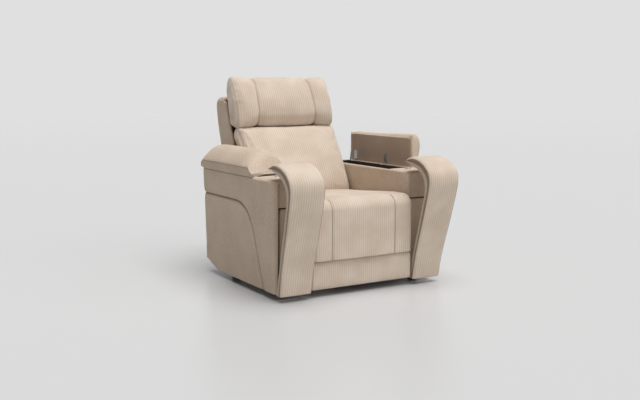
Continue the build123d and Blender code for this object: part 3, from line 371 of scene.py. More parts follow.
RIB = ribbed_cloth()
PLAIN = flat_cloth("flat_woven_cloth", "#BDAA97", "#D4C3B1", 2.4)
# Darker welt cloth as painted shade: welts, seam cords and band grooves take it, so seams read shaded.
WELT_AND_SEAM_SHADE = flat_cloth("welt_cloth_and_seam_shade", "#938373", "#A79787", 0.8)
LINING = flat_cloth("lid_lining_cloth", "#B09C8B", "#C0AC9B", 2.0)
WEBBING = flat_cloth("elastic_webbing", "#1D1B1A", "#2E2B29", 2.0)
WOOD = plywood()
COATED = speckled("black_powder_coat", "#141415", "#1F1F21", 900.0, 0.0003, Roughness=0.5)
MOULDED = speckled("black_moulded_plastic", "#101011", "#18181A", 700.0, 0.0003, Roughness=0.6)
SILVERED = speckled("silvered_plastic", "#8C8E92", "#9B9DA1", 500.0, 0.0001, Roughness=0.3, Metallic=0.6)
BROWN = speckled("brown_moulded_bin", "#2E2621", "#3A302A", 600.0, 0.0003, Roughness=0.7)
# Dust cloth on uprights and rails; on the arm frames the same dark cloth is painted shade in the slots.
DUST_CLOTH_AND_SLOT_SHADE = flat_cloth("dust_cloth_and_slot_shade", "#3B332D", "#4A4038", 1.6)
ZINC = brushed("zinc_plated_steel", "#8E9093", "#B2B4B6", Metallic=1.0, Roughness=0.35)
CHROME = brushed("polished_chrome", "#C9CACC", "#DADBDC", Metallic=1.0, Roughness=0.1)


# Cushions


def plump(obj, cap, voxel, calming):
    """Swells a pad as stuffed cloth: an even remesh at the voxel, blown up by cloth pressure with no point
    moved past cap, then calmed by some smoothing steps, so that only soft hollows stay."""
    modifier = obj.modifiers.new("even", "REMESH")
    modifier.mode = "VOXEL"
    modifier.voxel_size = voxel * MM
    apply_modifiers(obj)
    rest = points_of(obj)
    cloth = obj.modifiers.new("stuffing", "CLOTH")
    settings = cloth.settings
    settings.use_pressure = True
    settings.uniform_pressure_force = 4.0
    settings.effector_weights.gravity = 0.0
    settings.quality = 5
    scene = bpy.context.scene
    for step in range(1, 21):
        scene.frame_set(step)
    apply_modifiers(obj)
    scene.frame_set(1)
    move = points_of(obj) - rest
    reach = np.linalg.norm(move, axis=1)[:, None]
    set_points(obj, rest + move * np.minimum(1, cap / np.maximum(reach, 1e-9)))
    calm = obj.modifiers.new("calm", "SMOOTH")
    calm.factor = 0.5
    calm.iterations = calming
    apply_modifiers(obj)


def apply_modifiers(obj):
    """Puts the modified mesh in the object's place, smooth shaded, and drops the modifiers."""
    graph = bpy.context.evaluated_depsgraph_get()
    made = bpy.data.meshes.new_from_object(obj.evaluated_get(graph))
    obj.modifiers.clear()
    obj.data = made
    made.polygons.foreach_set("use_smooth", np.ones(len(made.polygons), bool))


def points_of(obj):
    """The mesh's points in millimetres."""
    flat = np.zeros(len(obj.data.vertices) * 3)
    obj.data.vertices.foreach_get("co", flat)
    return flat.reshape(-1, 3) / MM


def set_points(obj, points):
    """Moves the mesh's points to places in millimetres."""
    obj.data.vertices.foreach_set("co", (points * MM).ravel())
    obj.data.update()


def subdivide(obj):
    """One smooth subdivision, applied."""
    modifier = obj.modifiers.new("smooth", "SUBSURF")
    modifier.levels = 1
    modifier.render_levels = 1
    apply_modifiers(obj)


def sew(obj, path_distance, depth, width, middle):
    """Presses a channel: points near a seam move by depth, square to X, towards the pad's middle (Y, Z); the
    press fades beside the seam as a bell of the width."""
    points = points_of(obj)
    press = depth * bell(path_distance(points), width)
    towards = middle - points[:, 1:]
    points[:, 1:] += press[:, None] * towards / np.maximum(np.linalg.norm(towards, axis=1), 1e-6)[:, None]
    set_points(obj, points)


def padded(obj, nodes):
    """Hides the solids that a pad stands for, and gives the pad back."""
    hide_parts(*nodes)
    return obj


# Side views (Y, Z) of the two plumped cushions
HEAD_OUTLINE = [(330, 757), (304, 764), (293, 788), (294, 820), (303, 864), (321, 914), (350, 966),
                (384, 1009), (410, 1023), (443, 1011), (458, 952), (446, 885), (428, 815), (408, 772),
                (370, 760)]
LUMBAR_OUTLINE = [(90, 420), (104, 476), (146, 562), (208, 648), (261, 716), (290, 746), (322, 754),
                  (366, 748), (390, 718), (382, 680), (316, 580), (252, 478), (196, 388), (166, 374),
                  (114, 390)]


def head_seams(points):
    """Distance across to the headrest's two seams, which lean in slightly towards the top."""
    height = np.clip((points[:, 2] - 760) / 250, 0, 1)
    return np.abs(np.abs(points[:, 0]) - (HEAD_SEAM - 8 * height))


def boxing_seam(outline, middle, half):
    """Distance across to the seams that bound a pad's side strips, half(z) from the middle; inside the side
    faces, nearer to the middle than 0.9 of the outline's reach, it grows so that no seam runs there."""
    edge = smooth(outline, 240, closed=True) - middle
    angle = np.arctan2(edge[:, 1], edge[:, 0])

    def distance(points):
        offset = points[:, 1:] - middle
        turned = np.arctan2(offset[:, 1], offset[:, 0])
        reach = np.interp(turned, angle, np.hypot(*edge.T), period=2 * np.pi)
        inside = 1 - ease(np.hypot(*offset.T) / reach, 0.78, 0.9)
        return np.abs(np.abs(points[:, 0]) - half(points[:, 2])) + 40.0 * inside

    return distance


def flared(height, flare):
    """Width factor of a pad at a share of its height: 1 up to 0.4, then growing to 1 + flare at its top."""
    return 1 + flare * ease(height, 0.4, 1.0)


def fitted(obj, half, low, high, flare=0.0):
    """Stretches a plumped pad back to its width and height, which the swelling has drawn in; flare widens its
    upper half by a share."""
    points = points_of(obj)
    least, most = points.min(axis=0), points.max(axis=0)
    height = (points[:, 2] - least[2]) / (most[2] - least[2])
    points[:, 0] *= 2 * half / (most[0] - least[0]) * flared(height, flare)
    points[:, 2] = low + height * (high - low)
    set_points(obj, points)


def headrest():
    """Three-lobed headrest: its outline lofted across, plumped, sewn in two channels and round its sides."""
    outline = smooth(HEAD_OUTLINE, 120, closed=True)
    x, draw = across(HEAD_HALF - 4, corner=20, steps=80)
    lobes = 3.0 - 6.0 * bell(np.abs(x) - HEAD_SEAM, 22)
    inset = draw[:, None] + 4.0 - lobes[:, None] * np.ones((1, len(outline)))
    points, faces = capped(side_loft(outline, x, inset))
    obj = piece("headrest_pad", points, faces, RIB, "headrest")
    plump(obj, cap=9.0, voxel=5.0, calming=14)
    subdivide(obj)
    fitted(obj, HEAD_HALF, HEAD_LOW, HEAD_TOP)
    sew(obj, head_seams, depth=10.0, width=5.0, middle=HEAD_MIDDLE)
    sides = boxing_seam(HEAD_OUTLINE, HEAD_MIDDLE, lambda z: HEAD_HALF - 9.0)
    sew(obj, sides, depth=4.0, width=4.0, middle=HEAD_MIDDLE)
    padded(obj, ["headrest_cushion", "headrest_board"])


def lumbar():
    """Puffy lumbar cushion: its outline lofted across, plumped, and sewn round its sides."""
    outline = smooth(LUMBAR_OUTLINE, 130, closed=True)
    x, draw = across(LUMBAR_HALF - 4, corner=10, steps=76, turns=9)
    inset = draw[:, None] + 5.0 * np.ones((1, len(outline)))
    points, faces = capped(side_loft(outline, x, inset))
    obj = piece("lumbar_pad", points, faces, RIB, "back")
    plump(obj, cap=8.0, voxel=6.0, calming=7)
    subdivide(obj)
    fitted(obj, LUMBAR_HALF, LUMBAR_LOW, LUMBAR_TOP, LUMBAR_FLARE)

    def half(z):
        height = (z - LUMBAR_LOW) / (LUMBAR_TOP - LUMBAR_LOW)
        return LUMBAR_HALF * flared(height, LUMBAR_FLARE) - 14.0

    sides = boxing_seam(LUMBAR_OUTLINE, LUMBAR_MIDDLE, half)
    sew(obj, sides, depth=4.0, width=4.0, middle=LUMBAR_MIDDLE)
    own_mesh(obj)
    padded(obj, ["lumbar_cushion"])


def seat_paths(count):
    """Side views of the seat cover from rear to front foot: its skin, and its underside in the middle and
    over the pivots at the sides."""
    y, z = FOOT_AXIS
    turn = np.linspace(np.pi / 2, np.pi, 24)
    nose = np.stack([y + NOSE * np.cos(turn), z + NOSE * np.sin(turn)], axis=1)
    top = [(100, 420), (-60, 431), (-250, 447), (-330, 453)]
    front = [(FRONT - 1, 330), (FRONT - 1, 250), (FRONT, 173)]
    middle = [(100, 353), (-60, 353), (-250, 353), (-380, 350), (FRONT + 43, 330), (FRONT + 43, 250),
              (FRONT + 43, 173)]
    pocket = [(100, 353), (-60, 400), (-250, 428), (-403, 433), (-428, 420), (-433, 403), (FRONT + 38, 340),
              (FRONT + 43, 250), (FRONT + 43, 173)]
    return even(np.vstack([top, nose, front]), count), even(middle, count), even(pocket, count)


def panel_seam(x, along, start):
    """Distance to the seam round the seat's front panel on the unrolled cover: it crosses the seat at start,
    turns in two round corners and runs down the front at both sides."""
    corner, far = PANEL_CORNER, 2000.0
    across_gap = np.abs(x) - SEAT_SEAM + corner
    along_gap = np.abs(along - start - far) - far + corner
    outside = np.hypot(np.maximum(across_gap, 0), np.maximum(along_gap, 0))
    return np.abs(outside + np.minimum(np.maximum(across_gap, along_gap), 0) - corner)


def seat_cover():
    """Seat and upper front in one ribbed cover: for each step from rear to front a ring of its skin, crowned
    across and swelling inside and outside a sewn front panel, and of its underside, hollowed at the sides for
    the pivots. With its seam cord it rolls round the nose with the footrest."""
    skin, middle, pocket = seat_paths(190)
    normal = -outward(skin, closed=False)
    normal *= np.sign(np.sum(normal * (skin - middle), axis=1))[:, None]
    x, draw = across(SEAT_HALF, corner=26, steps=150, turns=10)
    along = np.concatenate([[0], np.cumsum(np.linalg.norm(np.diff(skin, axis=0), axis=1))])
    top = slice(0, 90)
    start = np.interp(-SEAT_CROSS_SEAM, -skin[top, 0], along[top])
    gap = panel_seam(x[None], along[:, None], start)
    swell = 5.0 * (1 - bell(gap, 40))
    channel = 5.0 * bell(gap, 5)
    crown = 4.0 - 9.0 * np.abs(x[None] / SEAT_HALF) ** 3
    rise = swell - channel - draw[None] + crown
    face = skin[:, None] + rise[..., None] * normal[:, None]
    back_x = np.linspace(x[-1], x[0], 70)[1:-1]
    at_side = ease(np.abs(back_x), 205, 222)[None, :, None]
    back = middle[:, None] * (1 - at_side) + pocket[:, None] * at_side
    rings = with_x(np.concatenate([x, back_x])[None], np.concatenate([face, back], axis=1))
    points, faces = capped(rings)
    obj = piece("seat_and_front_cover", points, faces, RIB, None)
    padded(obj, ["seat_cushion", "footrest_pad"])
    cord = seat_cord(skin - 2.6 * normal, along, start)
    for part in (obj, cord):
        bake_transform(part)


def seat_cord(bed, along, start):
    """Cord in the seat's front panel seam: a route on the unrolled cover, laid on its bed's side view."""
    turn = np.linspace(0, np.pi / 2, 14)
    arc = np.stack([SEAT_SEAM - PANEL_CORNER * (1 - np.cos(turn)), start + PANEL_CORNER * (1 - np.sin(turn))])
    half = np.vstack([[SEAT_SEAM, along[-1] - 2], arc.T])
    route = even(np.vstack([half, half[::-1] * [-1, 1]]), 420)
    seam = np.stack([np.interp(route[:, 1], along, bed[:, k]) for k in (0, 1)], axis=1)
    return tube("seat_seam_cord", np.column_stack([route[:, 0], seam]), SEAT_CORD, None)


def lower_front():
    """Lower front pad: a rounded slab lofted across."""
    y0, y1, z0, z1 = FRONT + 12, FRONT + 43, 38.5, 168.0
    outline = smooth([(y0, 60), (y0 - 2, 105), (y0, 148), (y0 + 8, z1), (y1 - 4, z1), (y1, z1 - 6),
                      (y1, z0 + 6), (y1 - 4, z0), (y0 + 8, z0)], 70, closed=True)
    x, draw = across(SEAT_HALF, corner=14, steps=100, turns=8)
    front = ease(-outline[:, 0], -(y0 + 16), -(y0 + 4))
    inset = draw[:, None] - 3.0 * front[None]
    points, faces = capped(side_loft(outline, x, inset))
    obj = piece("lower_front_pad", points, faces, RIB, "footrest")
    padded(obj, ["footrest_lower_pad"])


# Arms; every piece is worked out for the right arm and mirrored for the left


def sided(name, side):
    """The name of an arm's piece: side -1 is the left arm, 1 the right."""
    return ("left_" if side < 0 else "right_") + name


def mirrored(points, side):
    """Points of the right arm, mirrored in X for the left."""
    return np.asarray(points) * [float(side), 1.0, 1.0]


def arm_piece(name, side, rings, material, nodes, body="base"):
    """A closed padded piece from rings on the right arm, mirrored in X for the left."""
    points, faces = capped(mirrored(rings, side))
    obj = piece(sided(name, side), points, faces, material, body)
    return padded(obj, [sided(n, side) for n in nodes])


def seam_path():
    """The inverted-L seam on the arm's side (Y, Z): level, a wide bend, then a slant down to its foot."""
    corner, foot, radius = np.array([-147.0, ARM_SEAM_Z]), np.array([-276.0, FLOOR_GAP]), 205.0
    slant = (foot - corner) / np.linalg.norm(foot - corner)
    half_turn = math.acos(slant[0]) / 2
    reach = radius * math.tan(math.pi / 2 - half_turn)
    start, end = corner + [reach, 0], corner + reach * slant
    t = np.linspace(0, 1, 40)[:, None]
    bend = (1 - t) ** 2 * start + 2 * t * (1 - t) * corner + t**2 * end
    return even(np.vstack([[ARM_REAR + 20, ARM_SEAM_Z], bend, foot + 10 * slant]), 300)


def nearest(path, y, z):
    """Distance of each (y, z) to a path, and which side it is on (above the path is positive)."""
    flat = np.stack([np.ravel(y), np.ravel(z)], axis=1)
    gap = np.linalg.norm(flat[:, None] - path[None], axis=2)
    at = gap.argmin(axis=1)
    ahead = np.gradient(path, axis=0)[at]
    offset = flat - path[at]
    sign = np.sign(ahead[:, 1] * offset[:, 0] - ahead[:, 0] * offset[:, 1])
    return gap.min(axis=1).reshape(np.shape(y)), sign.reshape(np.shape(y))


def side_swell(height):
    """How far the side padding stands out at a share of its height: it leans out and is a little round."""
    return 13.0 * height**1.5 + 8.0 * height * (1 - height)


def arm_plan():
    """Plan path (X, Y) of the side padding, from the front corner along the side and round the rear, and its
    unit directions into the arm."""
    turn = np.linspace(0, np.pi / 2, 16)
    front = np.stack([np.sin(turn), -np.cos(turn)], axis=1) * ARM_CORNER
    rear = np.stack([np.cos(turn), np.sin(turn)], axis=1) * ARM_REAR_CORNER
    front += [ARM_OUTER - ARM_CORNER, ARM_FRONT + ARM_CORNER]
    rear += [ARM_OUTER - ARM_REAR_CORNER, ARM_REAR - ARM_REAR_CORNER]
    plan = even(np.vstack([[ARM_RETURN, ARM_FRONT], front, rear, [ARM_INNER + 15, ARM_REAR]]), 250)
    inward = -outward(plan, closed=False)
    inside = np.array([[380.0, 0.0]])
    inward *= np.sign(np.sum(inward * (inside - plan), axis=1))[:, None]
    return plan, inward


def arm_section(high):
    """Upright section of the side padding (depth into the arm, height): round foot, face, round top, back."""
    foot, edge = 5.0, 12.0
    bend = np.linspace(0, np.pi / 2, 7)
    low_edge = np.stack([foot - foot * np.sin(bend), foot - foot * np.cos(bend)], axis=1)
    top_edge = np.stack([edge - edge * np.cos(bend), high - edge + edge * np.sin(bend)], axis=1)
    face = np.stack([np.zeros(150), np.linspace(foot, high - edge, 150)], axis=1)[1:-1]
    back = np.stack([np.full(30, PANEL), np.linspace(high, 0, 30)], axis=1)
    return np.vstack([low_edge, face, top_edge, back])


def arm_side(side):
    """Side padding: its section carried along its plan path; it leans out, swells, rises at its lower rear
    corner, and is pressed in along the seam, where a cord lies."""
    plan, inward = arm_plan()
    high = ARM_TOP - FLOOR_GAP
    section = arm_section(high)
    depth, height = section[:, 0][None], section[:, 1][None] / high
    y = plan[:, 1][:, None]
    low = FLOOR_GAP + ARM_REAR_LIFT * ease(y, 190, ARM_REAR + 60)
    z = low + height * (ARM_TOP - low)
    at_side = 1 - ease(y, ARM_REAR - 12, ARM_REAR - 1)
    seam = seam_path()
    gap, above = nearest(seam, np.broadcast_to(y, z.shape), z)
    channel = 9.0 * bell(gap, 5.0)
    hollow = 5.0 * bell(gap, 18.0)
    lower = 1.6 * (above < 0) * ease(gap, 0, 6)
    press = (channel + hollow + lower) * at_side * (depth < PANEL - 1)
    lean = side_swell(height) * at_side * (1 - depth / PANEL)
    offset = depth + press - lean
    xy = plan[:, None, :] + offset[..., None] * inward[:, None, :]
    rings = np.concatenate([xy, z[..., None]], axis=2)
    arm_piece("arm_side_cover", side, rings, PLAIN, ["arm_yoke", "arm_outer_panel"])
    thread = seam[(seam[:, 0] < ARM_REAR - 16) & (seam[:, 1] > FLOOR_GAP + 8)]
    rise = (thread[:, 1] - FLOOR_GAP) / high
    cord = np.column_stack([ARM_OUTER + side_swell(rise) - 9.5, thread])
    tube(sided("arm_seam_cord", side), mirrored(cord, side), ARM_CORD, "base")


def strip(face, back, width, corner, crown):
    """Rings of a padded strip from X to X in width: its face and back follow two side-view paths, its four
    edges are quarter rounds and its face is crowned across. Each ring runs over the face, down one side, over
    the back and up the other side."""
    gap = back - face
    thick = np.linalg.norm(gap, axis=1)
    gap /= thick[:, None]
    half = (width[1] - width[0]) / 2
    x, draw = across(half, corner, STRIP_STEPS)
    small = np.minimum(1, 0.45 * thick / corner)[:, None]
    rise = crown * (1 - (x / half) ** 2)
    share = np.linspace(0, 1, STRIP_SIDE + 2)[None, 1:-1]
    edge = small * corner + share * (thick[:, None] - 2 * small * corner)
    under = thick[:, None] - small * draw[::-1]
    depth = np.concatenate([small * draw - rise, edge, under, edge[:, ::-1]], axis=1)
    sides = np.full(STRIP_SIDE, half)
    x = np.concatenate([x, -sides, x[::-1], sides]) + (width[0] + width[1]) / 2
    return with_x(x[None], face[:, None] + depth[..., None] * gap[:, None])


def arm_shelf(side):
    """Ledge and front cap: a strip from the cap's lower edge up over the brow to the bin; at the outside it
    lies behind the round corner of the side cover."""
    brow = 18.0
    turn = np.linspace(np.pi, np.pi / 2, 10)
    bend = np.stack([ARM_FRONT + brow + brow * np.cos(turn), ARM_TOP - brow + brow * np.sin(turn)], axis=1)
    path = even(np.vstack([[ARM_FRONT, 430], bend, [-223.6, ARM_TOP]]), 90)
    back = path + 12.0 * outward(path, closed=False)
    rings = strip(path, back, (304.5, 439.5), corner=5.0, crown=2.0)
    x, inner = rings[..., 0], ARM_CORNER - PANEL
    beside = np.clip(x - ARM_OUTER + ARM_CORNER, 0, inner)
    behind = PANEL * ease(x, ARM_RETURN - 4, ARM_RETURN) + inner - np.sqrt(inner**2 - beside**2)
    rings[..., 1] = np.maximum(rings[..., 1], ARM_FRONT + behind)
    arm_piece("arm_shelf", side, rings, PLAIN, ["arm_shelf_cover"])


def slab_rings(width, height, thick, corner, crown):
    """Rings of an upholstered panel in (across, up, out): rounded rectangles that shrink from the back, over
    a quarter-round edge, to the crowned middle of the face."""
    angle = np.linspace(0, 2 * np.pi, 160, endpoint=False)
    power = 0.09
    loop = np.stack([np.sign(np.cos(angle)) * np.abs(np.cos(angle)) ** power,
                     np.sign(np.sin(angle)) * np.abs(np.sin(angle)) ** power], axis=1)
    loop = even(np.vstack([loop, loop[:1]]), 160, closed=True)
    bend = np.linspace(0, np.pi / 2, 7)
    share = np.linspace(1, 0.06, 16)[1:]
    inset = np.concatenate([[2.0, 0.0], corner * (1 - np.cos(bend))])
    out = np.concatenate([[0.0, 2.0], thick - corner + corner * np.sin(bend)])
    half = np.array([width / 2, height / 2])
    rim = loop[None] * (half[None] - inset[:, None])[:, None, :]
    rim = np.concatenate([rim, np.broadcast_to(out[:, None, None], rim.shape[:2] + (1,))], axis=2)
    face = rim[-1][None] * np.array([1, 1, 0]) * share[:, None, None]
    rise = thick + crown * (1 - share**2)
    face[..., 2] = rise[:, None]
    return np.concatenate([rim, face])


def placed(rings, middle, across_axis, up_axis, out_axis):
    """Panel rings moved to their place along three unit axes."""
    axes = np.array([across_axis, up_axis, out_axis], float)
    return rings @ axes + np.array(middle, float)


def arm_panels(side):
    """Inner panel facing the seat and the facing under the cap, each a crowned upholstered panel."""
    foot, crown = 134.0, 2.5
    middle = (ARM_INNER + PANEL, (ARM_FRONT + ARM_REAR) / 2, (ARM_TOP + foot) / 2)
    inner = slab_rings(ARM_REAR - ARM_FRONT, ARM_TOP - foot, PANEL - crown, corner=9.0, crown=crown)
    inner = placed(inner, middle, (0, 1, 0), (0, 0, 1), (-1, 0, 0))
    arm_piece("arm_inner_cover", side, inner, PLAIN, ["arm_inner_panel"])
    facing = slab_rings(116, 392, PANEL - 3, corner=7.0, crown=3.0)
    facing = placed(facing, (365, ARM_FRONT + PANEL, 227), (1, 0, 0), (0, 0, 1), (0, -1, 0))
    arm_piece("arm_facing_cover", side, facing, PLAIN, ["arm_facing"])


def band_outline():
    """Side view of the scroll band: its bowed front up over the roll to the tip, and its rear edge below."""
    front = [(0, 30), (-20, 140), (-45, 231), (-73, 322), (-98, 411), (-114, 475), (-122, 526), (-113, 567),
             (-82, 600), (-40, 622), (8, 632), (48, 628), (80, 612)]
    rear = [(46, 30), (26, 95), (-4, 203), (-31, 294), (-56, 384), (-72, 440), (-80, 486), (-72, 524),
            (-46, 556), (-10, 576), (22, 586), (52, 597), (76, 604)]
    return smooth(front, 120) + [FRONT, 0], smooth(rear, 120) + [FRONT, 0]


def arm_band(side):
    """Scroll band: a crowned strip between its front and rear edges, flared to the outside at its top, with a
    welt and a groove along its sides behind both front edges."""
    front, rear = band_outline()
    rings = strip(front, rear, (ARM_INNER, ARM_OUTER), corner=12.0, crown=3.0)
    groove = np.array([5.0, 6.0, 3.0, 0.0])
    rings[:, STRIP_FACE:STRIP_FACE + STRIP_SIDE, 0] += groove
    rings[:, -STRIP_SIDE:, 0] -= groove[::-1]
    height = np.clip((rings[..., 2] - FLOOR_GAP) / 600, 0, 1)
    flare = 14.0 * height * ease(rings[..., 0], 300, ARM_OUTER)
    rings[..., 0] += flare
    obj = arm_piece("arm_band_cover", side, rings, RIB, ["arm_band"])
    band_cloths(obj, rings.shape[1])
    for tag, at in (("outer", 1), ("inner", STRIP_FACE - 2)):
        tube(sided(f"arm_band_{tag}_welt", side), mirrored(rings[:, at], side), BAND_WELT, "base")


def band_cloths(obj, around):
    """Gives the band plain cloth on its sides, where no ribs run, and the darker welt cloth in the groove as
    painted shade; its quads run round each ring as a strip's points do."""
    obj.data.materials.append(PLAIN)
    obj.data.materials.append(WELT_AND_SEAM_SHADE)
    place = np.arange(len(obj.data.polygons)) % around
    plain, welt = 1, 2
    kind = np.zeros(around, int)
    # Groove faces behind both front edges take the darker welt cloth, as painted shade in the grooves.
    kind[STRIP_FACE - 2:STRIP_FACE + 2] = welt
    kind[STRIP_FACE + 2:STRIP_FACE + STRIP_SIDE] = plain
    kind[-STRIP_SIDE - 1:1 - STRIP_SIDE] = plain
    kind[1 - STRIP_SIDE:] = welt
    kind[0] = welt
    obj.data.polygons.foreach_set("material_index", kind[place])


def lid_section():
    """Section of a closed lid (X, Z above its underside): dome, inner side, flat underside, and the strip
    that leans in below the crease."""
    dome = [(476, LID_CREASE), (470, 51), (450, 74), (422, 97), (386, 112), (344, 113), (308, 97), (287, 68),
            (282, 38), (286, 16), (300, 2)]
    upper = smooth(dome, 86)
    under = even([(300, 2), (306, 0), (456, 0)], 34)[1:]
    outer = smooth([(456, 0), (462, -7), (470, 4), (476, 24), (476, LID_CREASE)], 22)[1:-1]
    return np.vstack([upper, under, outer])


def oval(share, power):
    """Height of an oval of the power at a share of its length: 0 at its end, 1 at its top."""
    return (1 - (1 - share) ** power) ** (1 / power)


def lid_rings():
    """Rings of the closed right lid: its section carried from front to rear. The dome falls in a long oval to
    the front, shorter at the inside, and in a short one to the rear. The strip below its crease ends in a
    mitre at the outer front corner, and the front edge falls back from there to the inside. The inner side
    draws in evenly to the rear, where the lid lies beside the back."""
    section = lid_section()
    across_x, height = section[:, 0][None], section[:, 1][None]
    nose, inner_nose, heel, taper = 150.0, 105.0, 60.0, 380.0
    turn = np.linspace(0, np.pi / 2, 34)
    y = np.concatenate([LID_FRONT + nose * (1 - np.cos(turn)),
                        np.linspace(LID_FRONT + nose, LID_REAR - heel, 96)[1:-1],
                        LID_REAR - heel * (1 - np.cos(turn[::-1]))])[:, None]
    reach = nose + (inner_nose - nose) * ease(-across_x, -440, -300)
    ahead = np.clip((y - LID_FRONT) / reach, 0, 1)
    behind = np.clip((LID_REAR - y) / heel, 0, 1)
    rear_fall = np.maximum(oval(behind, 2.4), 0.05)
    dome = oval(ahead, 1.5) * rear_fall
    strip_fall = (0.3 + 0.7 * ease(y, LID_FRONT, LID_FRONT + 42)) * rear_fall
    narrow = 1 - 0.05 * (1 - ahead) ** 3 - 0.05 * (1 - behind) ** 3
    draw_in = 11.0 * np.clip((y - LID_FRONT) / taper, 0, 1) * ease(-across_x, -312, -290)
    x = LID_MIDDLE + (across_x - LID_MIDDLE) * narrow + draw_in
    low, high = np.clip(height, 0, LID_CREASE), np.maximum(height - LID_CREASE, 0)
    up = np.minimum(height, 0) + low * strip_fall + high * dome
    fall_back = 12.0 * ease(-across_x, -455, -390) * (1 - ease(y, LID_FRONT, LID_FRONT + reach))
    mitre = y - LID_FRONT - 4.0 - 0.95 * low
    fold = 3.5 * bell(mitre, 4.0) * (across_x > 455) * (height < LID_CREASE + 6)
    return np.stack([x - fold, y + fall_back, LID_UNDER - 1.0 + up], axis=2)


def lid(side):
    """Domed lid with a welt in its crease; the right lid is swung up by 90 degrees."""
    rings = lid_rings()
    if side > 0:
        rings = opened(rings)
    body = sided("lid", side)
    arm_piece("lid_cover", side, rings, PLAIN, ["lid_pad"], body)
    tube(sided("lid_welt", side), mirrored(rings[14:-4, -1], side), LID_WELT, body)


def opened(points):
    """Right lid points swung up a quarter turn about the hinge."""
    x, y, z = points[..., 0], points[..., 1], points[..., 2]
    hx, hz = LID_HINGE
    return np.stack([hx + (z - hz), y, hz - (x - hx)], axis=-1)


def lid_lining(side):
    """Cloth-covered board under a lid: a shallow panel facing down, just proud of the pad."""
    front, rear = LID_FRONT + 24.0, LID_REAR - 12.0
    middle = (LID_MIDDLE - 4, (front + rear) / 2, LID_UNDER + 5.6)
    rings = slab_rings(146, rear - front, 8.0, corner=2.5, crown=0.0)
    rings = placed(rings, middle, (1, 0, 0), (0, 1, 0), (0, 0, -1))
    if side > 0:
        rings = opened(rings)
    arm_piece("lid_lining", side, rings, LINING, ["lid_board"], sided("lid", side))


# Back shell, skirt and webbing


def back_grid():
    """Points of the rear shell: columns run from one front edge along a side, round the rear and back to the
    other front edge; each follows the outline from the foot, up the rear and over the top."""
    rear = smooth([(322, 404), (400, 402), (466, 408), (500, 480), (541, 640), (570, 780), (584, 868),
                   (570, 906), (530, 917), (480, 913)], 90)
    front = even(smooth([(302, 402), (384, 690), (408, 745), (464, 888)], 90), 90)
    side = np.linspace(0, 1, 22)[:, None, None]
    corner = 22.0
    turn = np.linspace(0, np.pi / 2, 8)[1:]
    normal = outward(rear, closed=False)
    half = SEAT_HALF - 1.0
    wall_x = np.full(len(side), -half)
    bend_x = -half + corner * (1 - np.cos(turn))
    bend = rear[None] + (corner * (np.sin(turn) - 1))[:, None, None] * normal[None]
    wall = front[None] * (1 - side) + bend[0][None] * side
    flat_x = np.linspace(bend_x[-1], -bend_x[-1], 60)[1:-1]
    bow = 6.0 * (1 - (flat_x / half) ** 2)
    flat = rear[None] + bow[:, None, None] * normal[None]
    yz = np.concatenate([wall, bend, flat, bend[::-1], wall[::-1]])
    x = np.concatenate([wall_x, bend_x, flat_x, -bend_x[::-1], -wall_x])
    flare = 1 + 0.035 * ease(yz[..., 1], 560, 800)
    return with_x(x[:, None] * flare, yz)


def back_shell():
    """Rear shell with an open front: a sheet over its grid, thickened inwards."""
    grid = back_grid()
    columns, rows = grid.shape[:2]
    i = np.arange(columns - 1)[:, None] * rows
    j = np.arange(rows - 1)[None, :]
    faces = np.stack([i + j, i + rows + j, i + rows + j + 1, i + j + 1], axis=-1).reshape(-1, 4)
    obj = piece("back_shell_cover", grid.reshape(-1, 3), faces.tolist(), PLAIN, None)
    aim_outwards(obj)
    thicken = obj.modifiers.new("wall", "SOLIDIFY")
    thicken.thickness = 16.0 * MM
    thicken.offset = -1.0
    apply_modifiers(obj)
    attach(obj, "back")
    padded(obj, ["back_shell"])


def aim_outwards(obj):
    """Turns an open shell over if its faces look in at the middle of the back."""
    centres = np.zeros(len(obj.data.polygons) * 3)
    normals = np.zeros(len(obj.data.polygons) * 3)
    obj.data.polygons.foreach_get("center", centres)
    obj.data.polygons.foreach_get("normal", normals)
    away = centres.reshape(-1, 3) - np.array([0.0, 0.42, 0.66])
    if np.sum(away * normals.reshape(-1, 3)) < 0:
        obj.data.flip_normals()


def rear_skirt():
    """Low panel between the arms at the rear, upholstered on its rear face."""
    rings = slab_rings(578, 114, 9.0, corner=5.0, crown=2.5)
    rings = placed(rings, (0, 361.5, 137.5), (-1, 0, 0), (0, 0, 1), (0, 1, 0))
    points, faces = capped(rings)
    obj = piece("rear_skirt_cover", points, faces, PLAIN, "base")
    padded(obj, ["rear_skirt"])


def seat_webbing():
    """Five elastic straps over the seat frame: flat strips that sag 3 mm in the middle under the cushion."""
    low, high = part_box("seat_webbing")
    x = np.linspace(low.x, high.x, 60) / MM
    frame_top = low.z / MM
    sag = 3.0 * (1 - (x / x.max()) ** 2)
    first, last = low.y / MM + 25, high.y / MM - 25
    section = np.array([(-24.5, 0.3), (-24.5, 2.1), (0, 2.2), (24.5, 2.1), (24.5, 0.3), (0, 0.2)])
    for number, middle in enumerate(np.linspace(first, last, 5), 1):
        flat = np.stack([np.broadcast_to(x[:, None], (60, 6)),
                         np.broadcast_to(middle + section[None, :, 0], (60, 6)),
                         frame_top + section[None, :, 1] - sag[:, None]], axis=2)
        points, faces = capped(flat)
        strap = piece(f"seat_strap_{number}", points, faces, WEBBING, "base")
        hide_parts("seat_webbing")


# Screw heads and finishes of the CAD nodes


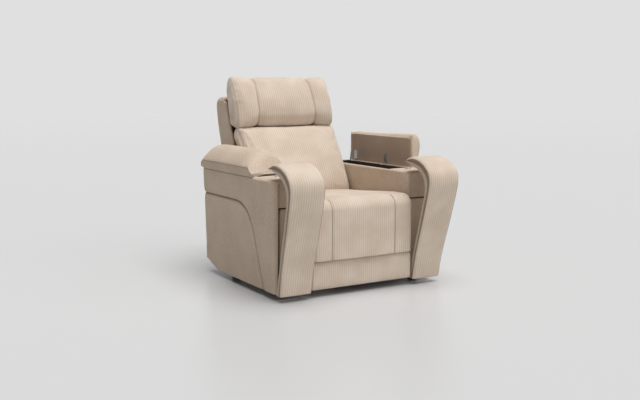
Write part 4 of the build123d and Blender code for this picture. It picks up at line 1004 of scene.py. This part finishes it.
def screw_heads():
    """Domed zinc screw heads on the lids' hinge arms, three to each."""
    radius, rise = 3.2, 1.6
    angle = np.linspace(0, 2 * np.pi, 16, endpoint=False)
    ring = np.stack([radius * np.cos(angle), radius * np.sin(angle), np.zeros(16)], axis=1)
    lift = np.linspace(0, np.pi / 2, 5)[:-1]
    dome = np.stack([ring * math.cos(a) - [0, 0, rise * math.sin(a)] for a in lift])
    holes = ((-9, 402), (9, 402), (0, 424))
    spots = [(x, hinge_y + beside) for hinge_y in (35.0, 330.0) for beside, x in holes]
    for side in (-1, 1):
        body = sided("lid", side)
        for number, (x, y) in enumerate(spots, 1):
            rings = dome + [x, y, LID_UNDER - 2.4]
            points, faces = capped(opened(rings) if side > 0 else mirrored(rings, side))
            piece(f"{body}_screw_{number}", points, faces, ZINC, body)


def dress_nodes():
    """Gives every CAD node that still shows its finish, by the last of these words in its name."""
    finishes = {
        "frame": WOOD, "board": WOOD, "uprights": DUST_CLOTH_AND_SLOT_SHADE, "back_rails": DUST_CLOTH_AND_SLOT_SHADE,
        # The arm frames take the dark cloth as painted shade, so the slots beside the facings show dark.
        "arm_frame": DUST_CLOTH_AND_SLOT_SHADE, "bin": BROWN, "glides": MOULDED, "motor": MOULDED, "slider": MOULDED,
        "cup": CHROME, "button": SILVERED, "drive_rail": ZINC, "hinge_arms": ZINC,
    }
    for name, obj in NODES.items():
        chosen = COATED
        for word, material in finishes.items():
            if word in name:
                chosen = material
        obj.data.materials.clear()
        obj.data.materials.append(chosen)


# Room, light and camera


def floor():
    """Plain pale studio floor, far wider than the view; far away it fades into the surround."""
    corners = np.array([(-60, -40, 0), (60, -40, 0), (60, 80, 0), (-60, 80, 0)]) / MM
    material, tree, shader, place = finish("pale_studio_floor", Roughness=0.3, Specular_IOR_Level=0.2)
    shader.inputs["Base Color"].default_value = shade("#C6C6C6")
    away = node(tree, "ShaderNodeVectorMath", {"operation": "LENGTH"}, {"Vector": place})
    far = node(tree, "ShaderNodeMapRange", {"interpolation_type": "SMOOTHSTEP"}, {"Value": (away, "Value")},
               From_Min=6.0, From_Max=28.0)
    haze = node(tree, "ShaderNodeEmission", Color=shade("#E0E0E0"), Strength=1.0)
    mixed = node(tree, "ShaderNodeMixShader", None, {"Fac": (far, "Result")})
    tree.links.new(shader.outputs[0], mixed.inputs[1])
    tree.links.new(haze.outputs[0], mixed.inputs[2])
    tree.links.new(mixed.outputs[0], tree.nodes["Material Output"].inputs["Surface"])
    piece("studio_floor", corners, [[0, 1, 2, 3]], material, None)


def sun(name, towards, strength, spread):
    """A soft distant lamp: its light travels along a direction, its disc is spread degrees wide."""
    data = bpy.data.lights.new(name, "SUN")
    data.energy = strength
    data.angle = math.radians(spread)
    obj = bpy.data.objects.new(name, data)
    bpy.context.scene.collection.objects.link(obj)
    obj.rotation_euler = Vector(towards).to_track_quat("-Z", "Y").to_euler()


def surround():
    """Even pale surround: the camera and gloss see it brighter than it lights the chair."""
    world = bpy.data.worlds.new("pale_surround")
    bpy.context.scene.world = world
    world.use_nodes = True
    tree = world.node_tree
    light = tree.nodes["Background"]
    light.inputs["Color"].default_value = shade("#FFFFFF")
    light.inputs["Strength"].default_value = 0.25
    seen = node(tree, "ShaderNodeBackground", Color=shade("#E0E0E0"), Strength=1.0)
    path = node(tree, "ShaderNodeLightPath")
    shown = path.outputs["Is Camera Ray"]
    for kind in ("Is Glossy Ray", "Is Transmission Ray"):
        either = node(tree, "ShaderNodeMath", {"operation": "MAXIMUM"})
        tree.links.new(shown, either.inputs[0])
        tree.links.new(path.outputs[kind], either.inputs[1])
        shown = either.outputs[0]
    mixed = node(tree, "ShaderNodeMixShader")
    tree.links.new(shown, mixed.inputs["Fac"])
    tree.links.new(light.outputs[0], mixed.inputs[1])
    tree.links.new(seen.outputs[0], mixed.inputs[2])
    tree.links.new(mixed.outputs[0], tree.nodes["World Output"].inputs["Surface"])


def photo_camera():
    """The camera, as it was fitted to the photograph."""
    data = bpy.data.cameras.new("photo_camera")
    data.lens = 48.73
    data.sensor_width = 36.0
    camera = bpy.data.objects.new("photo_camera", data)
    camera.location = (-2.2554, -3.8223, 0.9819)
    camera.rotation_euler = (math.radians(82.435), 0.0, math.radians(-30.834))
    bpy.context.scene.collection.objects.link(camera)
    bpy.context.scene.camera = camera


def studio():
    """Soft key light from above and weaker fill from the right front, in the surround, with plain tones."""
    surround()
    sun("key", (-0.06, 0.2, -0.97), strength=2.9, spread=50.0)
    sun("front_fill", (-0.42, 0.85, -0.3), strength=0.8, spread=60.0)
    photo_camera()
    bpy.context.scene.view_settings.view_transform = "Standard"


dress_nodes()
headrest()
lumbar()
seat_cover()
lower_front()
for arm in (-1, 1):
    arm_side(arm)
    arm_shelf(arm)
    arm_panels(arm)
    arm_band(arm)
    lid(arm)
    lid_lining(arm)
back_shell()
rear_skirt()
seat_webbing()
screw_heads()
floor()
studio()
